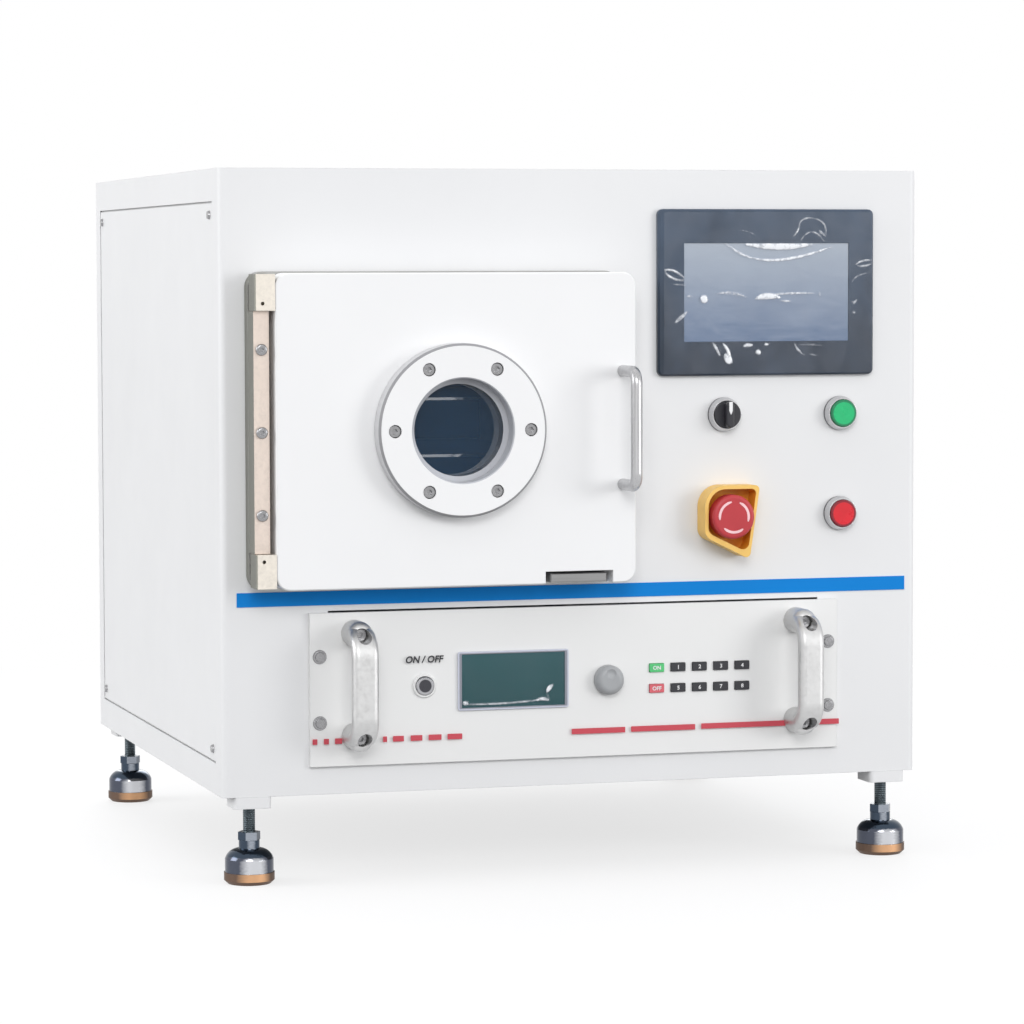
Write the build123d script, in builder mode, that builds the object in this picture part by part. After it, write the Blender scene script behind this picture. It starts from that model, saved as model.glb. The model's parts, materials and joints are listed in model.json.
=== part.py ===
from build123d import *
import os

os.makedirs("parts", exist_ok=True)

# Cabinet across, from its left side to its right side
HINGE_MARGIN = 39.8
DOOR_WIDTH = 319.0
CONTROL_GAP = 31.7
HMI_WIDTH = 201.3
RIGHT_MARGIN = 43.2
CABINET_WIDTH = HINGE_MARGIN + DOOR_WIDTH + CONTROL_GAP + HMI_WIDTH + RIGHT_MARGIN

# Cabinet upwards, from its underside to its roof
RACK_MARGIN = 24.3
RACK_HEIGHT = 132.5
STRIPE_GAP = 6.5
STRIPE_HEIGHT = 12.2
DOOR_GAP = 4.0
DOOR_HEIGHT = 268.4
ROOF_MARGIN = 89.1
DOOR_BOTTOM = RACK_MARGIN + RACK_HEIGHT + STRIPE_GAP + STRIPE_HEIGHT + DOOR_GAP
CABINET_HEIGHT = DOOR_BOTTOM + DOOR_HEIGHT + ROOF_MARGIN

# Cabinet sheet metal
CABINET_DEPTH = 582.0
SHEET = 2.0
BEND_RADIUS = 6.0
SIDE_FRAME_FRONT = 26.5
SIDE_FRAME_REAR = 27.0
SIDE_FRAME_LOW = 27.0
SIDE_FRAME_HIGH = 28.0
REAR_FRAME = 28.0
PANEL_GAP = 1.5
LIP_WIDTH = 18.0
LIP_SHOWN = 9.0
LIP_THICKNESS = 1.5
PANEL_THICKNESS = 1.5
SCREW_INSET = 10.0
SCREW_HEAD_RADIUS = 3.9
SCREW_HEAD_HEIGHT = 2.2
SCREW_HEAD_TAPER = 18.0
SCREW_SHANK_RADIUS = 2.0
SCREW_LENGTH = 8.0
SCREW_CLEARANCE = 0.2
HEX_SIDES = 6
STRIPE_THICKNESS = 0.8
STRIPE_END_LEFT = 13.5
STRIPE_END_RIGHT = 10.6

# Levelling feet, from the floor upwards
FOOT_INSET_X = 26.5
FOOT_INSET_FRONT = 16.0
FOOT_INSET_REAR = 20.0
BASE_RADIUS = 21.8
BASE_HEIGHT = 10.0
BASE_TAPER_HEIGHT = 3.2
BASE_TAPER_INSET = 3.4
CUP_RADIUS = 21.0
CUP_HEIGHT = 11.5
DOME_HEIGHT = 9.0
COLLAR_RADIUS = 9.0
COLLAR_HEIGHT = 7.0
NUT_RADIUS = 9.8
NUT_HEIGHT = 7.0
STUD_RADIUS = 5.2
STUD_EXPOSED = 21.5
STUD_HIDDEN = 28.0
BLOCK_SIDE = 33.0
BLOCK_HEIGHT = 10.0
BLOCK_RADIUS = 4.0
THREAD_CLEARANCE = 0.05
SEAT_GAP = 0.05
DOME_LEAN = (-0.3, 1)
STUD_HOLE_CLEARANCE = 0.8
PAD_HEIGHT = BASE_HEIGHT + CUP_HEIGHT + DOME_HEIGHT + COLLAR_HEIGHT
FOOT_HEIGHT = PAD_HEIGHT + NUT_HEIGHT + STUD_EXPOSED + BLOCK_HEIGHT

# Vacuum chamber and its flange
CAVITY_WIDTH = 240.0
CAVITY_HEIGHT = 216.0
CAVITY_DEPTH = 300.0
CAVITY_RADIUS = 14.0
CHAMBER_WALL = 12.0
CHAMBER_CLEARANCE = 1.0
FLANGE_THICKNESS = 12.0
FLANGE_LEFT = 22.0
FLANGE_RIGHT_INSET = 6.5
FLANGE_OVER_DOOR = 1.2
FLANGE_RADIUS = 13.0
SEAL_OFFSET = 11.0
SEAL_RADIUS = 2.6
GROOVE_DEPTH = 4.2
GROOVE_CLEARANCE = 0.3
SEAL_TO_DOOR = 0.3
SEAL_CROWN = 1.8

# Electrode shelves in the chamber
SHELF_COUNT = 4
SHELF_PITCH = 49.5
SHELF_THICKNESS = 2.5
SHELF_SETBACK = 22.0
SHELF_BACK_GAP = 16.0
SHELF_RADIUS = 6.0
SUPPORT_THICKNESS = 9.0
SUPPORT_MARGIN = 15.0
SUPPORT_GROOVE = 4.0
SHELF_CLEARANCE = 0.4

# Door
DOOR_THICKNESS = 26.0
DOOR_RADIUS = 12.0
DOOR_CHAMFER = 1.0
DOOR_STANDOFF = 1.5
NOTCH_WIDTH = 61.0
NOTCH_HEIGHT = 11.0
NOTCH_FROM_RIGHT = 51.5
CATCH_WIDTH = 51.0
CATCH_HEIGHT = 8.0
CATCH_GAP = 1.2
CATCH_SETBACK = 2.0
CATCH_CHAMFER = 1.0

# Window in the door
SIGHT_RADIUS = 39.0
GLASS_RADIUS = 50.0
GLASS_THICKNESS = 10.0
GLASS_CLEARANCE = 0.5
RING_RADIUS = 74.2
RING_BORE = 44.5
RING_HEIGHT = 16.5
RING_CHAMFER = 2.0
RING_BORE_CHAMFER = 1.0
RING_STEP_RADIUS = 39.5
RING_STEP_HEIGHT = 1.5
RING_SCREW_CIRCLE = 60.0
RING_SCREWS = 6
CAP_HEAD_RADIUS = 4.9
CAP_HEAD_HEIGHT = 6.0
CAP_SHANK_RADIUS = 3.0
CAP_SHANK_LENGTH = 22.0
CAP_SOCKET_RADIUS = 2.6
CAP_SOCKET_DEPTH = 3.0
COUNTERBORE_RADIUS = 5.6
COUNTERBORE_DEPTH = 7.5

# Door handle
HANDLE_RADIUS = 5.0
HANDLE_PITCH = 98.0
HANDLE_REACH = 38.0
HANDLE_BEND = 11.0
HANDLE_FROM_RIGHT = 12.0
HANDLE_STUD_RADIUS = 2.5
HANDLE_STUD_LENGTH = 14.0

# Door hinge
HINGE_BAR_LEFT = 22.3
HINGE_BAR_WIDTH = 13.4
HINGE_BAR_DEPTH = 21.0
HINGE_AXIS_DEPTH = 14.0
HINGE_END_LOW = 2.0
HINGE_END_HIGH = 0.9
HINGE_BLOCK_LOW = 29.4
HINGE_BLOCK_HIGH = 31.2
HINGE_GAP = 0.4
HINGE_BLOCK_BACK = 4.0
HINGE_BLOCK_CHAMFER = 1.0
PIN_RADIUS = 3.0
PIN_FIT = 0.05
PIN_DEPTH = 20.0
PIN_EMBED = 22.0
SET_SCREW_RADIUS = 1.6
SET_SCREW_FROM_BAR = 6.0
BAR_SCREW_PITCH = 70.0
BAR_SCREW_HEAD_RADIUS = 5.0
BAR_SCREW_HEAD_HEIGHT = 3.0
BAR_SCREW_SHANK_RADIUS = 2.5
BAR_SCREW_CROWN = 1.8
BAR_SOCKET_RADIUS = 2.0
BAR_SOCKET_DEPTH = 2.1

# Touch screen panel
HMI_HEIGHT = 146.0
HMI_TOP_MARGIN = 34.3
HMI_RADIUS = 5.0
HMI_BEZEL = 6.0
HMI_CHAMFER = 1.5
HMI_BODY_WIDTH = 191.0
HMI_BODY_HEIGHT = 137.0
HMI_BODY_DEPTH = 34.0
SCREEN_WIDTH = 154.0
SCREEN_HEIGHT = 86.5
SCREEN_DEPTH = 1.2
SCREEN_RECESS = 0.6
SCREEN_CLEARANCE = 0.15
CUT_CLEARANCE = 0.5

# Switches under the touch screen, 22 mm mounting series
SWITCH_DROP = 34.3
SWITCH_ROW_PITCH = 89.1
SWITCH_PITCH = 109.0
SWITCH_OFFSET = 16.4
SWITCH_BARREL_RADIUS = 11.0
SWITCH_BEZEL_RADIUS = 15.0
SWITCH_BASE_HEIGHT = 3.0
SWITCH_BEZEL_HEIGHT = 9.4
SWITCH_BEZEL_TAPER = 16.0
SWITCH_FLOOR = 1.0
SWITCH_BODY_DEPTH = 45.0
SWITCH_BORE_DEPTH = 22.5
CAP_RADIUS = 12.0
CAP_CLEARANCE = 0.4
CAP_PROUD = 2.0
CAP_CHAMFER = 0.8
CAP_TRAVEL = 3.0
CAP_BACK_GAP = 0.5
PLUNGER_RADIUS = 4.0
PLUNGER_FIT = 0.1
KNOB_PROUD = 1.9
KNOB_RIDGE_LENGTH = 22.8
KNOB_RIDGE_WIDTH = 7.5
KNOB_RIDGE_HEIGHT = 9.9
KNOB_RIDGE_FILLET = 2.0

# Emergency stop and its guard
HEAD_RADIUS = 19.4
HEAD_FRONT = 28.0
HEAD_RIM = 9.0
HEAD_NECK_RADIUS = 11.0
HEAD_FILLET = 3.0
HEAD_LIFT = 13.0
STEM_RADIUS = 7.0
STEM_FIT = 0.1
STOP_TRAVEL = 4.0
GUARD_HEIGHT = 21.0
GUARD_WALL = 3.2
GUARD_THIN_WALL = 1.8
GUARD_SLANT_WALL = 5.9
GUARD_FLOOR = 3.0
GUARD_LEFT = 24.5
GUARD_RIGHT = 26.5
GUARD_TOP = 27.3
GUARD_TIP_DROP = 38.0
GUARD_TIP_X = 17.0
GUARD_SLANT_DROP = 17.5
GUARD_ROUND = 19.0
GUARD_LOWER_ROUND = 10.0
GUARD_CORNER = 4.0
GUARD_OPENING_TIP = 6.0

# Generator in its 19 inch rack panel
RACK_WIDTH = 482.6
RACK_THICKNESS = 4.0
RACK_OPENING_WIDTH = 448.0
RACK_OPENING_OVER = 1.5
RACK_HOLE_PITCH_X = 465.1
RACK_HOLE_PITCH_Z = 57.15
RACK_SLOT_LENGTH = 10.3
RACK_SLOT_HEIGHT = 6.8
CHASSIS_WIDTH = 440.0
CHASSIS_HEIGHT = 126.0
CHASSIS_DEPTH = 420.0
RACK_SCREW_RADIUS = 4.7
RACK_SCREW_HEIGHT = 2.6
CUP_WASHER_RADIUS = 6.2
CUP_WASHER_HEIGHT = 1.2
RACK_SCREW_LENGTH = 12.0
CUP_WASHER_TAPER = 30.0

# What the rack panel carries, from its left and lower edges
POWER_X = 101.5
POWER_Z = 67.2
POWER_RIM_RADIUS = 10.7
POWER_RIM_HEIGHT = 2.0
POWER_RIM_TAPER = 20.0
POWER_CAP_RADIUS = 8.0
POWER_TRAVEL = 2.0
POWER_PRESSED = 1.5
LCD_LEFT = 131.3
LCD_LOW = 44.5
LCD_WIDTH = 100.2
LCD_HEIGHT = 51.0
LCD_THICKNESS = 2.0
LCD_RADIUS = 2.0
LCD_GLASS_WIDTH = 93.4
LCD_GLASS_HEIGHT = 46.6
LCD_RECESS = 0.8
DIAL_X = 268.0
DIAL_Z = 67.2
DIAL_RADIUS = 13.0
DIAL_HEIGHT = 11.0
DIAL_GAP = 0.6
DIAL_CROWN = 6.0
DIMPLE_RADIUS = 7.0
DIMPLE_DEPTH = 1.8
DIMPLE_OFFSET = 6.5
DIAL_SHAFT_RADIUS = 3.0
DIAL_SHAFT_LENGTH = 16.0
KEY_COLUMNS = 5
KEY_X = 312.9
KEY_PITCH = 19.9
KEY_UPPER_Z = 76.2
KEY_LOWER_Z = 58.0
KEY_WIDTH = 13.3
KEY_HEIGHT = 7.3
KEY_PROUD = 1.6
KEY_DEPTH = 5.0
KEY_RADIUS = 0.8
KEY_CLEARANCE = 0.25
RACK_HANDLE_PITCH = 404.0
RACK_HANDLE_LOW = 14.2
RACK_HANDLE_HEIGHT = 112.0
RACK_HANDLE_WIDTH = 23.0
RACK_HANDLE_REACH = 45.0
RACK_HANDLE_GRIP = 13.0
RACK_HANDLE_EDGE = 5.5
RACK_HANDLE_BEND = 19.0
BOSS_REACH = 27.0
BOSS_EDGE = 8.0
RECESS_RADIUS = 6.3
RECESS_FLOOR = 16.0

# Services behind the chamber
PORT_DROP = 60.0
PORT_BORE = 12.5
PORT_TUBE_RADIUS = 14.0
PORT_FLANGE_RADIUS = 20.0
PORT_FLANGE_THICKNESS = 4.0
PORT_FLANGE_CHAMFER = 2.0
PORT_REACH = 28.0
VALVE_WIDTH = 60.0
VALVE_DEPTH = 70.0
VALVE_HEIGHT = 64.0
VALVE_GAP = 60.0
ACTUATOR_RADIUS = 22.0
ACTUATOR_HEIGHT = 62.0
MATCH_WIDTH = 190.0
MATCH_DEPTH = 150.0
MATCH_HEIGHT = 105.0
MATCH_GAP = 18.0
MATCH_RISE = 88.0
FEED_RADIUS = 16.0
FEED_ROD_RADIUS = 4.0
GAS_SPACING = 50.0
GAS_FROM_CENTRE = 226.0
GAS_RISE = 40.0
GAS_TUBE_RADIUS = 3.2
GAS_BORE = 2.2
GAS_NUT_RADIUS = 8.0
GAS_NUT_LENGTH = 10.0
GAS_REACH = 22.0
METER_WIDTH = 26.0
METER_DEPTH = 110.0
METER_HEIGHT = 80.0
METER_GAP = 40.0
FAN_SIZE = 120.0
FAN_DEPTH = 25.0
FAN_BORE = 57.5
FAN_CORNER = 5.0
FAN_HOLE_RADIUS = 2.2
FAN_HOLE_PITCH = 105.0
FAN_FROM_RIGHT = 118.0
FAN_FROM_TOP = 118.0
HUB_RADIUS = 20.0
HUB_DEPTH = 17.0
BLADE_COUNT = 7
BLADE_CHORD = 16.0
BLADE_THICKNESS = 1.6
BLADE_TILT = 35.0
BLADE_TIP_GAP = 1.5
FAN_PLATE = 3.0
FAN_STRUT_WIDTH = 6.0
FAN_SHAFT_RADIUS = 2.0
GRILLE_RINGS = 5
GRILLE_FIRST = 17.0
GRILLE_PITCH = 9.5
GRILLE_SLOT = 6.0
GRILLE_ARC = 62.0
GRILLE_ARMS = 4
INLET_WIDTH = 50.0
INLET_HEIGHT = 28.0
INLET_FLANGE = 3.0
INLET_BODY_WIDTH = 30.0
INLET_BODY_HEIGHT = 22.0
INLET_BODY_DEPTH = 26.0
INLET_RECESS_WIDTH = 24.0
INLET_RECESS_HEIGHT = 16.5
INLET_RECESS_DEPTH = 16.0
INLET_RECESS_CORNER = 4.0
INLET_PIN_SETBACK = 6.0
INLET_PIN_WIDTH = 2.0
INLET_PIN_HEIGHT = 4.0
INLET_PIN_PITCH = 7.0
INLET_FROM_LEFT = 110.0
INLET_FROM_LOW = 70.0
LOUVRE_ROWS = 8
LOUVRE_WIDTH = 72.0
LOUVRE_PITCH_X = 88.0
LOUVRE_PITCH_Z = 15.0
LOUVRE_HEIGHT = 7.0
LOUVRE_REACH = 5.0
LOUVRE_COLUMNS = 4
LOUVRE_FROM_LOW = 55.0

# The cabinet is centred on the origin across and stands on the floor at Z = 0
DOOR_FACE = FLANGE_THICKNESS + DOOR_STANDOFF + DOOR_THICKNESS
FRONT_REACH = DOOR_FACE + HANDLE_REACH + HANDLE_RADIUS
FRONT_Y = (FRONT_REACH - PORT_REACH - CABINET_DEPTH) / 2
REAR_Y = FRONT_Y + CABINET_DEPTH
MIDDLE_Y = (FRONT_Y + REAR_Y) / 2
LEFT_X = -CABINET_WIDTH / 2
RIGHT_X = CABINET_WIDTH / 2
LOW_Z = FOOT_HEIGHT
HIGH_Z = LOW_Z + CABINET_HEIGHT
DOOR_X = LEFT_X + HINGE_MARGIN + DOOR_WIDTH / 2
DOOR_Z = LOW_Z + DOOR_BOTTOM + DOOR_HEIGHT / 2
HMI_X = RIGHT_X - RIGHT_MARGIN - HMI_WIDTH / 2
HMI_Z = HIGH_Z - HMI_TOP_MARGIN - HMI_HEIGHT / 2
RACK_LEFT_X = -RACK_WIDTH / 2
RACK_LOW_Z = LOW_Z + RACK_MARGIN
RACK_Z = RACK_LOW_Z + RACK_HEIGHT / 2


def facing(depth):
    """Upright plane that looks at the viewer, at a depth behind the cabinet's front face."""
    return Plane.XZ.offset(-(FRONT_Y + depth))


def backing(depth):
    """Upright plane that looks away from the viewer, at a depth behind the front face."""
    return Plane(origin=(0, FRONT_Y + depth, 0), x_dir=(-1, 0, 0), z_dir=(0, 1, 0))


# Places that several pieces share
FOOT_PLACES = {
    "front_left": (LEFT_X + FOOT_INSET_X, FRONT_Y + FOOT_INSET_FRONT),
    "front_right": (RIGHT_X - FOOT_INSET_X, FRONT_Y + FOOT_INSET_FRONT),
    "rear_left": (LEFT_X + FOOT_INSET_X, REAR_Y - FOOT_INSET_REAR),
    "rear_right": (RIGHT_X - FOOT_INSET_X, REAR_Y - FOOT_INSET_REAR),
}
SWITCH_LEFT_X = HMI_X + SWITCH_OFFSET - SWITCH_PITCH / 2
SWITCH_RIGHT_X = HMI_X + SWITCH_OFFSET + SWITCH_PITCH / 2
SWITCH_UPPER_Z = HMI_Z - HMI_HEIGHT / 2 - SWITCH_DROP
SWITCH_LOWER_Z = SWITCH_UPPER_Z - SWITCH_ROW_PITCH
SELECTOR_PLACE = (SWITCH_LEFT_X, SWITCH_UPPER_Z)
GREEN_PLACE = (SWITCH_RIGHT_X, SWITCH_UPPER_Z)
RED_PLACE = (SWITCH_RIGHT_X, SWITCH_LOWER_Z)
ESTOP_PLACE = (SWITCH_LEFT_X, SWITCH_LOWER_Z)
SIDE_OPEN_DEPTH = CABINET_DEPTH - SIDE_FRAME_FRONT - SIDE_FRAME_REAR
SIDE_OPEN_HEIGHT = CABINET_HEIGHT - SIDE_FRAME_LOW - SIDE_FRAME_HIGH
SIDE_MIDDLE = (
    FRONT_Y + SIDE_FRAME_FRONT + SIDE_OPEN_DEPTH / 2,
    LOW_Z + SIDE_FRAME_LOW + SIDE_OPEN_HEIGHT / 2,
)
SIDE_PANEL_DEPTH = SIDE_OPEN_DEPTH - 2 * PANEL_GAP
SIDE_PANEL_HEIGHT = SIDE_OPEN_HEIGHT - 2 * PANEL_GAP
REAR_OPEN_WIDTH = CABINET_WIDTH - 2 * REAR_FRAME
REAR_OPEN_HEIGHT = CABINET_HEIGHT - 2 * REAR_FRAME
REAR_PANEL_WIDTH = REAR_OPEN_WIDTH - 2 * PANEL_GAP
REAR_PANEL_HEIGHT = REAR_OPEN_HEIGHT - 2 * PANEL_GAP
REAR_Z = LOW_Z + CABINET_HEIGHT / 2
FAN_PLACE = (RIGHT_X - FAN_FROM_RIGHT, HIGH_Z - FAN_FROM_TOP)
INLET_PLACE = (LEFT_X + INLET_FROM_LEFT, LOW_Z + INLET_FROM_LOW)
PORT_PLACE = (DOOR_X, DOOR_Z - PORT_DROP)
GAS_PLACES = [
    (DOOR_X + GAS_FROM_CENTRE - GAS_SPACING / 2, DOOR_Z + GAS_RISE),
    (DOOR_X + GAS_FROM_CENTRE + GAS_SPACING / 2, DOOR_Z + GAS_RISE),
]
CHAMBER_WIDTH = CAVITY_WIDTH + 2 * CHAMBER_WALL
CHAMBER_HEIGHT = CAVITY_HEIGHT + 2 * CHAMBER_WALL
CHAMBER_BACK = CAVITY_DEPTH + CHAMBER_WALL
SHELF_DEPTH = CAVITY_DEPTH - SHELF_SETBACK - SHELF_BACK_GAP
HINGE_X = LEFT_X + HINGE_BAR_LEFT + HINGE_BAR_WIDTH / 2
HINGE_DEPTH = -(FLANGE_THICKNESS + HINGE_AXIS_DEPTH)
BAR_LOW_Z = LOW_Z + DOOR_BOTTOM + HINGE_END_LOW + HINGE_BLOCK_LOW
BAR_HIGH_Z = LOW_Z + DOOR_BOTTOM + DOOR_HEIGHT - HINGE_END_HIGH - HINGE_BLOCK_HIGH
BAR_Z = (BAR_LOW_Z + BAR_HIGH_Z) / 2
BAR_SCREW_PLACES = [(HINGE_X, BAR_Z + step * BAR_SCREW_PITCH) for step in (-1, 0, 1)]
RACK_SCREW_PLACES = [
    (side * RACK_HOLE_PITCH_X / 2, RACK_Z + level * RACK_HOLE_PITCH_Z / 2)
    for side in (-1, 1)
    for level in (-1, 1)
]
KEY_PLACES = [
    (RACK_LEFT_X + KEY_X + column * KEY_PITCH, RACK_LOW_Z + height)
    for height in (KEY_UPPER_Z, KEY_LOWER_Z)
    for column in range(KEY_COLUMNS)
]
POWER_PLACE = (RACK_LEFT_X + POWER_X, RACK_LOW_Z + POWER_Z)
DIAL_PLACE = (RACK_LEFT_X + DIAL_X, RACK_LOW_Z + DIAL_Z)
RACK_HANDLE_Z = RACK_LOW_Z + RACK_HANDLE_LOW + RACK_HANDLE_HEIGHT / 2
RING_SCREW_HEAD_DEPTH = -(DOOR_FACE + RING_HEIGHT - COUNTERBORE_DEPTH)


# Cabinet shell: one folded skin with openings in the front, the sides and the rear
def lip_ring(width, height):
    outer = 2 * (LIP_WIDTH - LIP_SHOWN)
    inner = 2 * LIP_SHOWN
    Rectangle(width + outer, height + outer)
    Rectangle(width - inner, height - inner, mode=Mode.SUBTRACT)


def corner_places(middle, width, height):
    return [
        (middle[0] + side * width / 2, middle[1] + level * height / 2)
        for side in (-1, 1)
        for level in (-1, 1)
    ]


SIDE_SCREWS = corner_places(
    SIDE_MIDDLE, SIDE_PANEL_DEPTH - 2 * SCREW_INSET, SIDE_PANEL_HEIGHT - 2 * SCREW_INSET
)
REAR_SCREWS = corner_places(
    (0, REAR_Z), REAR_PANEL_WIDTH - 2 * SCREW_INSET, REAR_PANEL_HEIGHT - 2 * SCREW_INSET
)
SIDE_LIP_X = CABINET_WIDTH / 2 - SHEET - LIP_THICKNESS
SCREW_HOLE_RADIUS = SCREW_SHANK_RADIUS + SCREW_CLEARANCE

with BuildPart() as cabinet_shell:
    with BuildSketch(Plane.XY.offset(LOW_Z)):
        with Locations((0, MIDDLE_Y)):
            RectangleRounded(CABINET_WIDTH, CABINET_DEPTH, BEND_RADIUS)
    extrude(amount=CABINET_HEIGHT)
    with BuildSketch(Plane.XY.offset(LOW_Z + SHEET)):
        with Locations((0, MIDDLE_Y)):
            RectangleRounded(CABINET_WIDTH - 2 * SHEET, CABINET_DEPTH - 2 * SHEET, BEND_RADIUS - SHEET)
    extrude(amount=CABINET_HEIGHT - 2 * SHEET, mode=Mode.SUBTRACT)
    with BuildSketch(Plane.YZ.offset(LEFT_X)):
        with Locations(SIDE_MIDDLE):
            Rectangle(SIDE_OPEN_DEPTH, SIDE_OPEN_HEIGHT)
    extrude(amount=CABINET_WIDTH, mode=Mode.SUBTRACT)
    with BuildSketch(facing(CABINET_DEPTH)):
        with Locations((0, REAR_Z)):
            Rectangle(REAR_OPEN_WIDTH, REAR_OPEN_HEIGHT)
    extrude(amount=SHEET, mode=Mode.SUBTRACT)
    with BuildSketch(Plane.YZ.offset(SIDE_LIP_X), Plane.YZ.offset(-SIDE_LIP_X - LIP_THICKNESS)):
        with Locations(SIDE_MIDDLE):
            lip_ring(SIDE_OPEN_DEPTH, SIDE_OPEN_HEIGHT)
        with Locations(SIDE_SCREWS):
            Circle(SCREW_HOLE_RADIUS, mode=Mode.SUBTRACT)
    extrude(amount=LIP_THICKNESS)
    with BuildSketch(facing(CABINET_DEPTH - SHEET)):
        with Locations((0, REAR_Z)):
            lip_ring(REAR_OPEN_WIDTH, REAR_OPEN_HEIGHT)
        with Locations(REAR_SCREWS):
            Circle(SCREW_HOLE_RADIUS, mode=Mode.SUBTRACT)
    extrude(amount=LIP_THICKNESS)
    with BuildSketch(facing(SHEET)):
        with Locations((DOOR_X, DOOR_Z)):
            Rectangle(CHAMBER_WIDTH + 2 * CHAMBER_CLEARANCE, CHAMBER_HEIGHT + 2 * CHAMBER_CLEARANCE)
        with Locations((0, RACK_Z + RACK_OPENING_OVER / 2)):
            Rectangle(RACK_OPENING_WIDTH, RACK_HEIGHT + RACK_OPENING_OVER)
        with Locations((HMI_X, HMI_Z)):
            Rectangle(HMI_BODY_WIDTH + 2 * CUT_CLEARANCE, HMI_BODY_HEIGHT + 2 * CUT_CLEARANCE)
        with Locations(SELECTOR_PLACE, GREEN_PLACE, RED_PLACE, ESTOP_PLACE):
            Circle(SWITCH_BARREL_RADIUS + CUT_CLEARANCE)
        with Locations(RACK_SCREW_PLACES):
            Circle(SCREW_HOLE_RADIUS)
    extrude(amount=SHEET, mode=Mode.SUBTRACT)
    with BuildSketch(Plane.XY.offset(LOW_Z)):
        with Locations(list(FOOT_PLACES.values())):
            Circle(STUD_RADIUS + STUD_HOLE_CLEARANCE)
    extrude(amount=SHEET, mode=Mode.SUBTRACT)
cabinet_shell.part.label = "cabinet_shell"
export_step(cabinet_shell.part, "parts/cabinet_shell.step")


# Side panels, flush in the side openings
def side_panel(inner_x):
    with BuildPart() as panel:
        with BuildSketch(Plane.YZ.offset(inner_x)):
            with Locations(SIDE_MIDDLE):
                Rectangle(SIDE_PANEL_DEPTH, SIDE_PANEL_HEIGHT)
            with Locations(SIDE_SCREWS):
                Circle(SCREW_HOLE_RADIUS, mode=Mode.SUBTRACT)
        extrude(amount=PANEL_THICKNESS)
    return panel


side_panel_left = side_panel(LEFT_X + SHEET - PANEL_THICKNESS)
side_panel_left.part.label = "side_panel_left"
export_step(side_panel_left.part, "parts/side_panel_left.step")
side_panel_right = side_panel(RIGHT_X - SHEET)
side_panel_right.part.label = "side_panel_right"
export_step(side_panel_right.part, "parts/side_panel_right.step")

# Rear panel with louvres, the fan grille and the service openings
LOUVRE_X = -(LOUVRE_COLUMNS - 1) * LOUVRE_PITCH_X / 2
LOUVRE_Z = LOW_Z + REAR_FRAME + LOUVRE_FROM_LOW
LOUVRE_PLACES = [
    (LOUVRE_X + column * LOUVRE_PITCH_X + LOUVRE_PITCH_X / 2, LOUVRE_Z + row * LOUVRE_PITCH_Z)
    for column in range(LOUVRE_COLUMNS)
    for row in range(LOUVRE_ROWS)
]
PANEL_BACK_Y = REAR_Y - SHEET + PANEL_THICKNESS

ARM_ANGLE = 360 / GRILLE_ARMS
GRILLE_ARCS = [
    CenterArc((0, 0), GRILLE_FIRST + ring * GRILLE_PITCH, arm * ARM_ANGLE - GRILLE_ARC / 2, GRILLE_ARC)
    for ring in range(GRILLE_RINGS)
    for arm in range(GRILLE_ARMS)
]
LOUVRE_SKINS = ((0, Mode.ADD), (PANEL_THICKNESS, Mode.SUBTRACT))

with BuildPart() as rear_panel:
    with BuildSketch(facing(CABINET_DEPTH - SHEET + PANEL_THICKNESS)):
        with Locations((0, REAR_Z)):
            Rectangle(REAR_PANEL_WIDTH, REAR_PANEL_HEIGHT)
    extrude(amount=PANEL_THICKNESS)
    for skin, mode in LOUVRE_SKINS:
        starts = [(x - LOUVRE_WIDTH / 2 + skin, PANEL_BACK_Y - skin, z) for x, z in LOUVRE_PLACES]
        with BuildSketch(*[Plane(origin=start, x_dir=(0, 1, 0), z_dir=(1, 0, 0)) for start in starts]):
            with BuildLine():
                Line((0, -LOUVRE_HEIGHT / 2), (LOUVRE_REACH, -LOUVRE_HEIGHT / 2))
                TangentArc((LOUVRE_REACH, -LOUVRE_HEIGHT / 2), (0, LOUVRE_HEIGHT / 2), tangent=(0, 1))
                Line((0, LOUVRE_HEIGHT / 2), (0, -LOUVRE_HEIGHT / 2))
            make_face()
        extrude(amount=LOUVRE_WIDTH - 2 * skin, mode=mode)
    with BuildSketch(facing(CABINET_DEPTH)):
        with Locations(REAR_SCREWS):
            Circle(SCREW_HOLE_RADIUS)
        with Locations(PORT_PLACE):
            Circle(PORT_TUBE_RADIUS + CUT_CLEARANCE)
        with Locations(GAS_PLACES):
            Circle(GAS_TUBE_RADIUS + CUT_CLEARANCE)
        with Locations(INLET_PLACE):
            Rectangle(INLET_BODY_WIDTH + 2 * CUT_CLEARANCE, INLET_BODY_HEIGHT + 2 * CUT_CLEARANCE)
        with Locations(FAN_PLACE):
            for arc in GRILLE_ARCS:
                SlotArc(arc=arc, height=GRILLE_SLOT)
    extrude(amount=SHEET, mode=Mode.SUBTRACT)
rear_panel.part.label = "rear_panel"
export_step(rear_panel.part, "parts/rear_panel.step")


# Panel screws: pan heads on the side panels and on the rear panel
LEFT_OUTSIDE = Plane(origin=(LEFT_X + SHEET - PANEL_THICKNESS, 0, 0), x_dir=(0, -1, 0), z_dir=(-1, 0, 0))
RIGHT_OUTSIDE = Plane.YZ.offset(RIGHT_X - SHEET + PANEL_THICKNESS)
REAR_OUTSIDE = backing(CABINET_DEPTH - SHEET + PANEL_THICKNESS)
SCREW_FACES = (
    (LEFT_OUTSIDE, [(-depth, height) for depth, height in SIDE_SCREWS]),
    (RIGHT_OUTSIDE, SIDE_SCREWS),
    (REAR_OUTSIDE, REAR_SCREWS),
)

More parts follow.
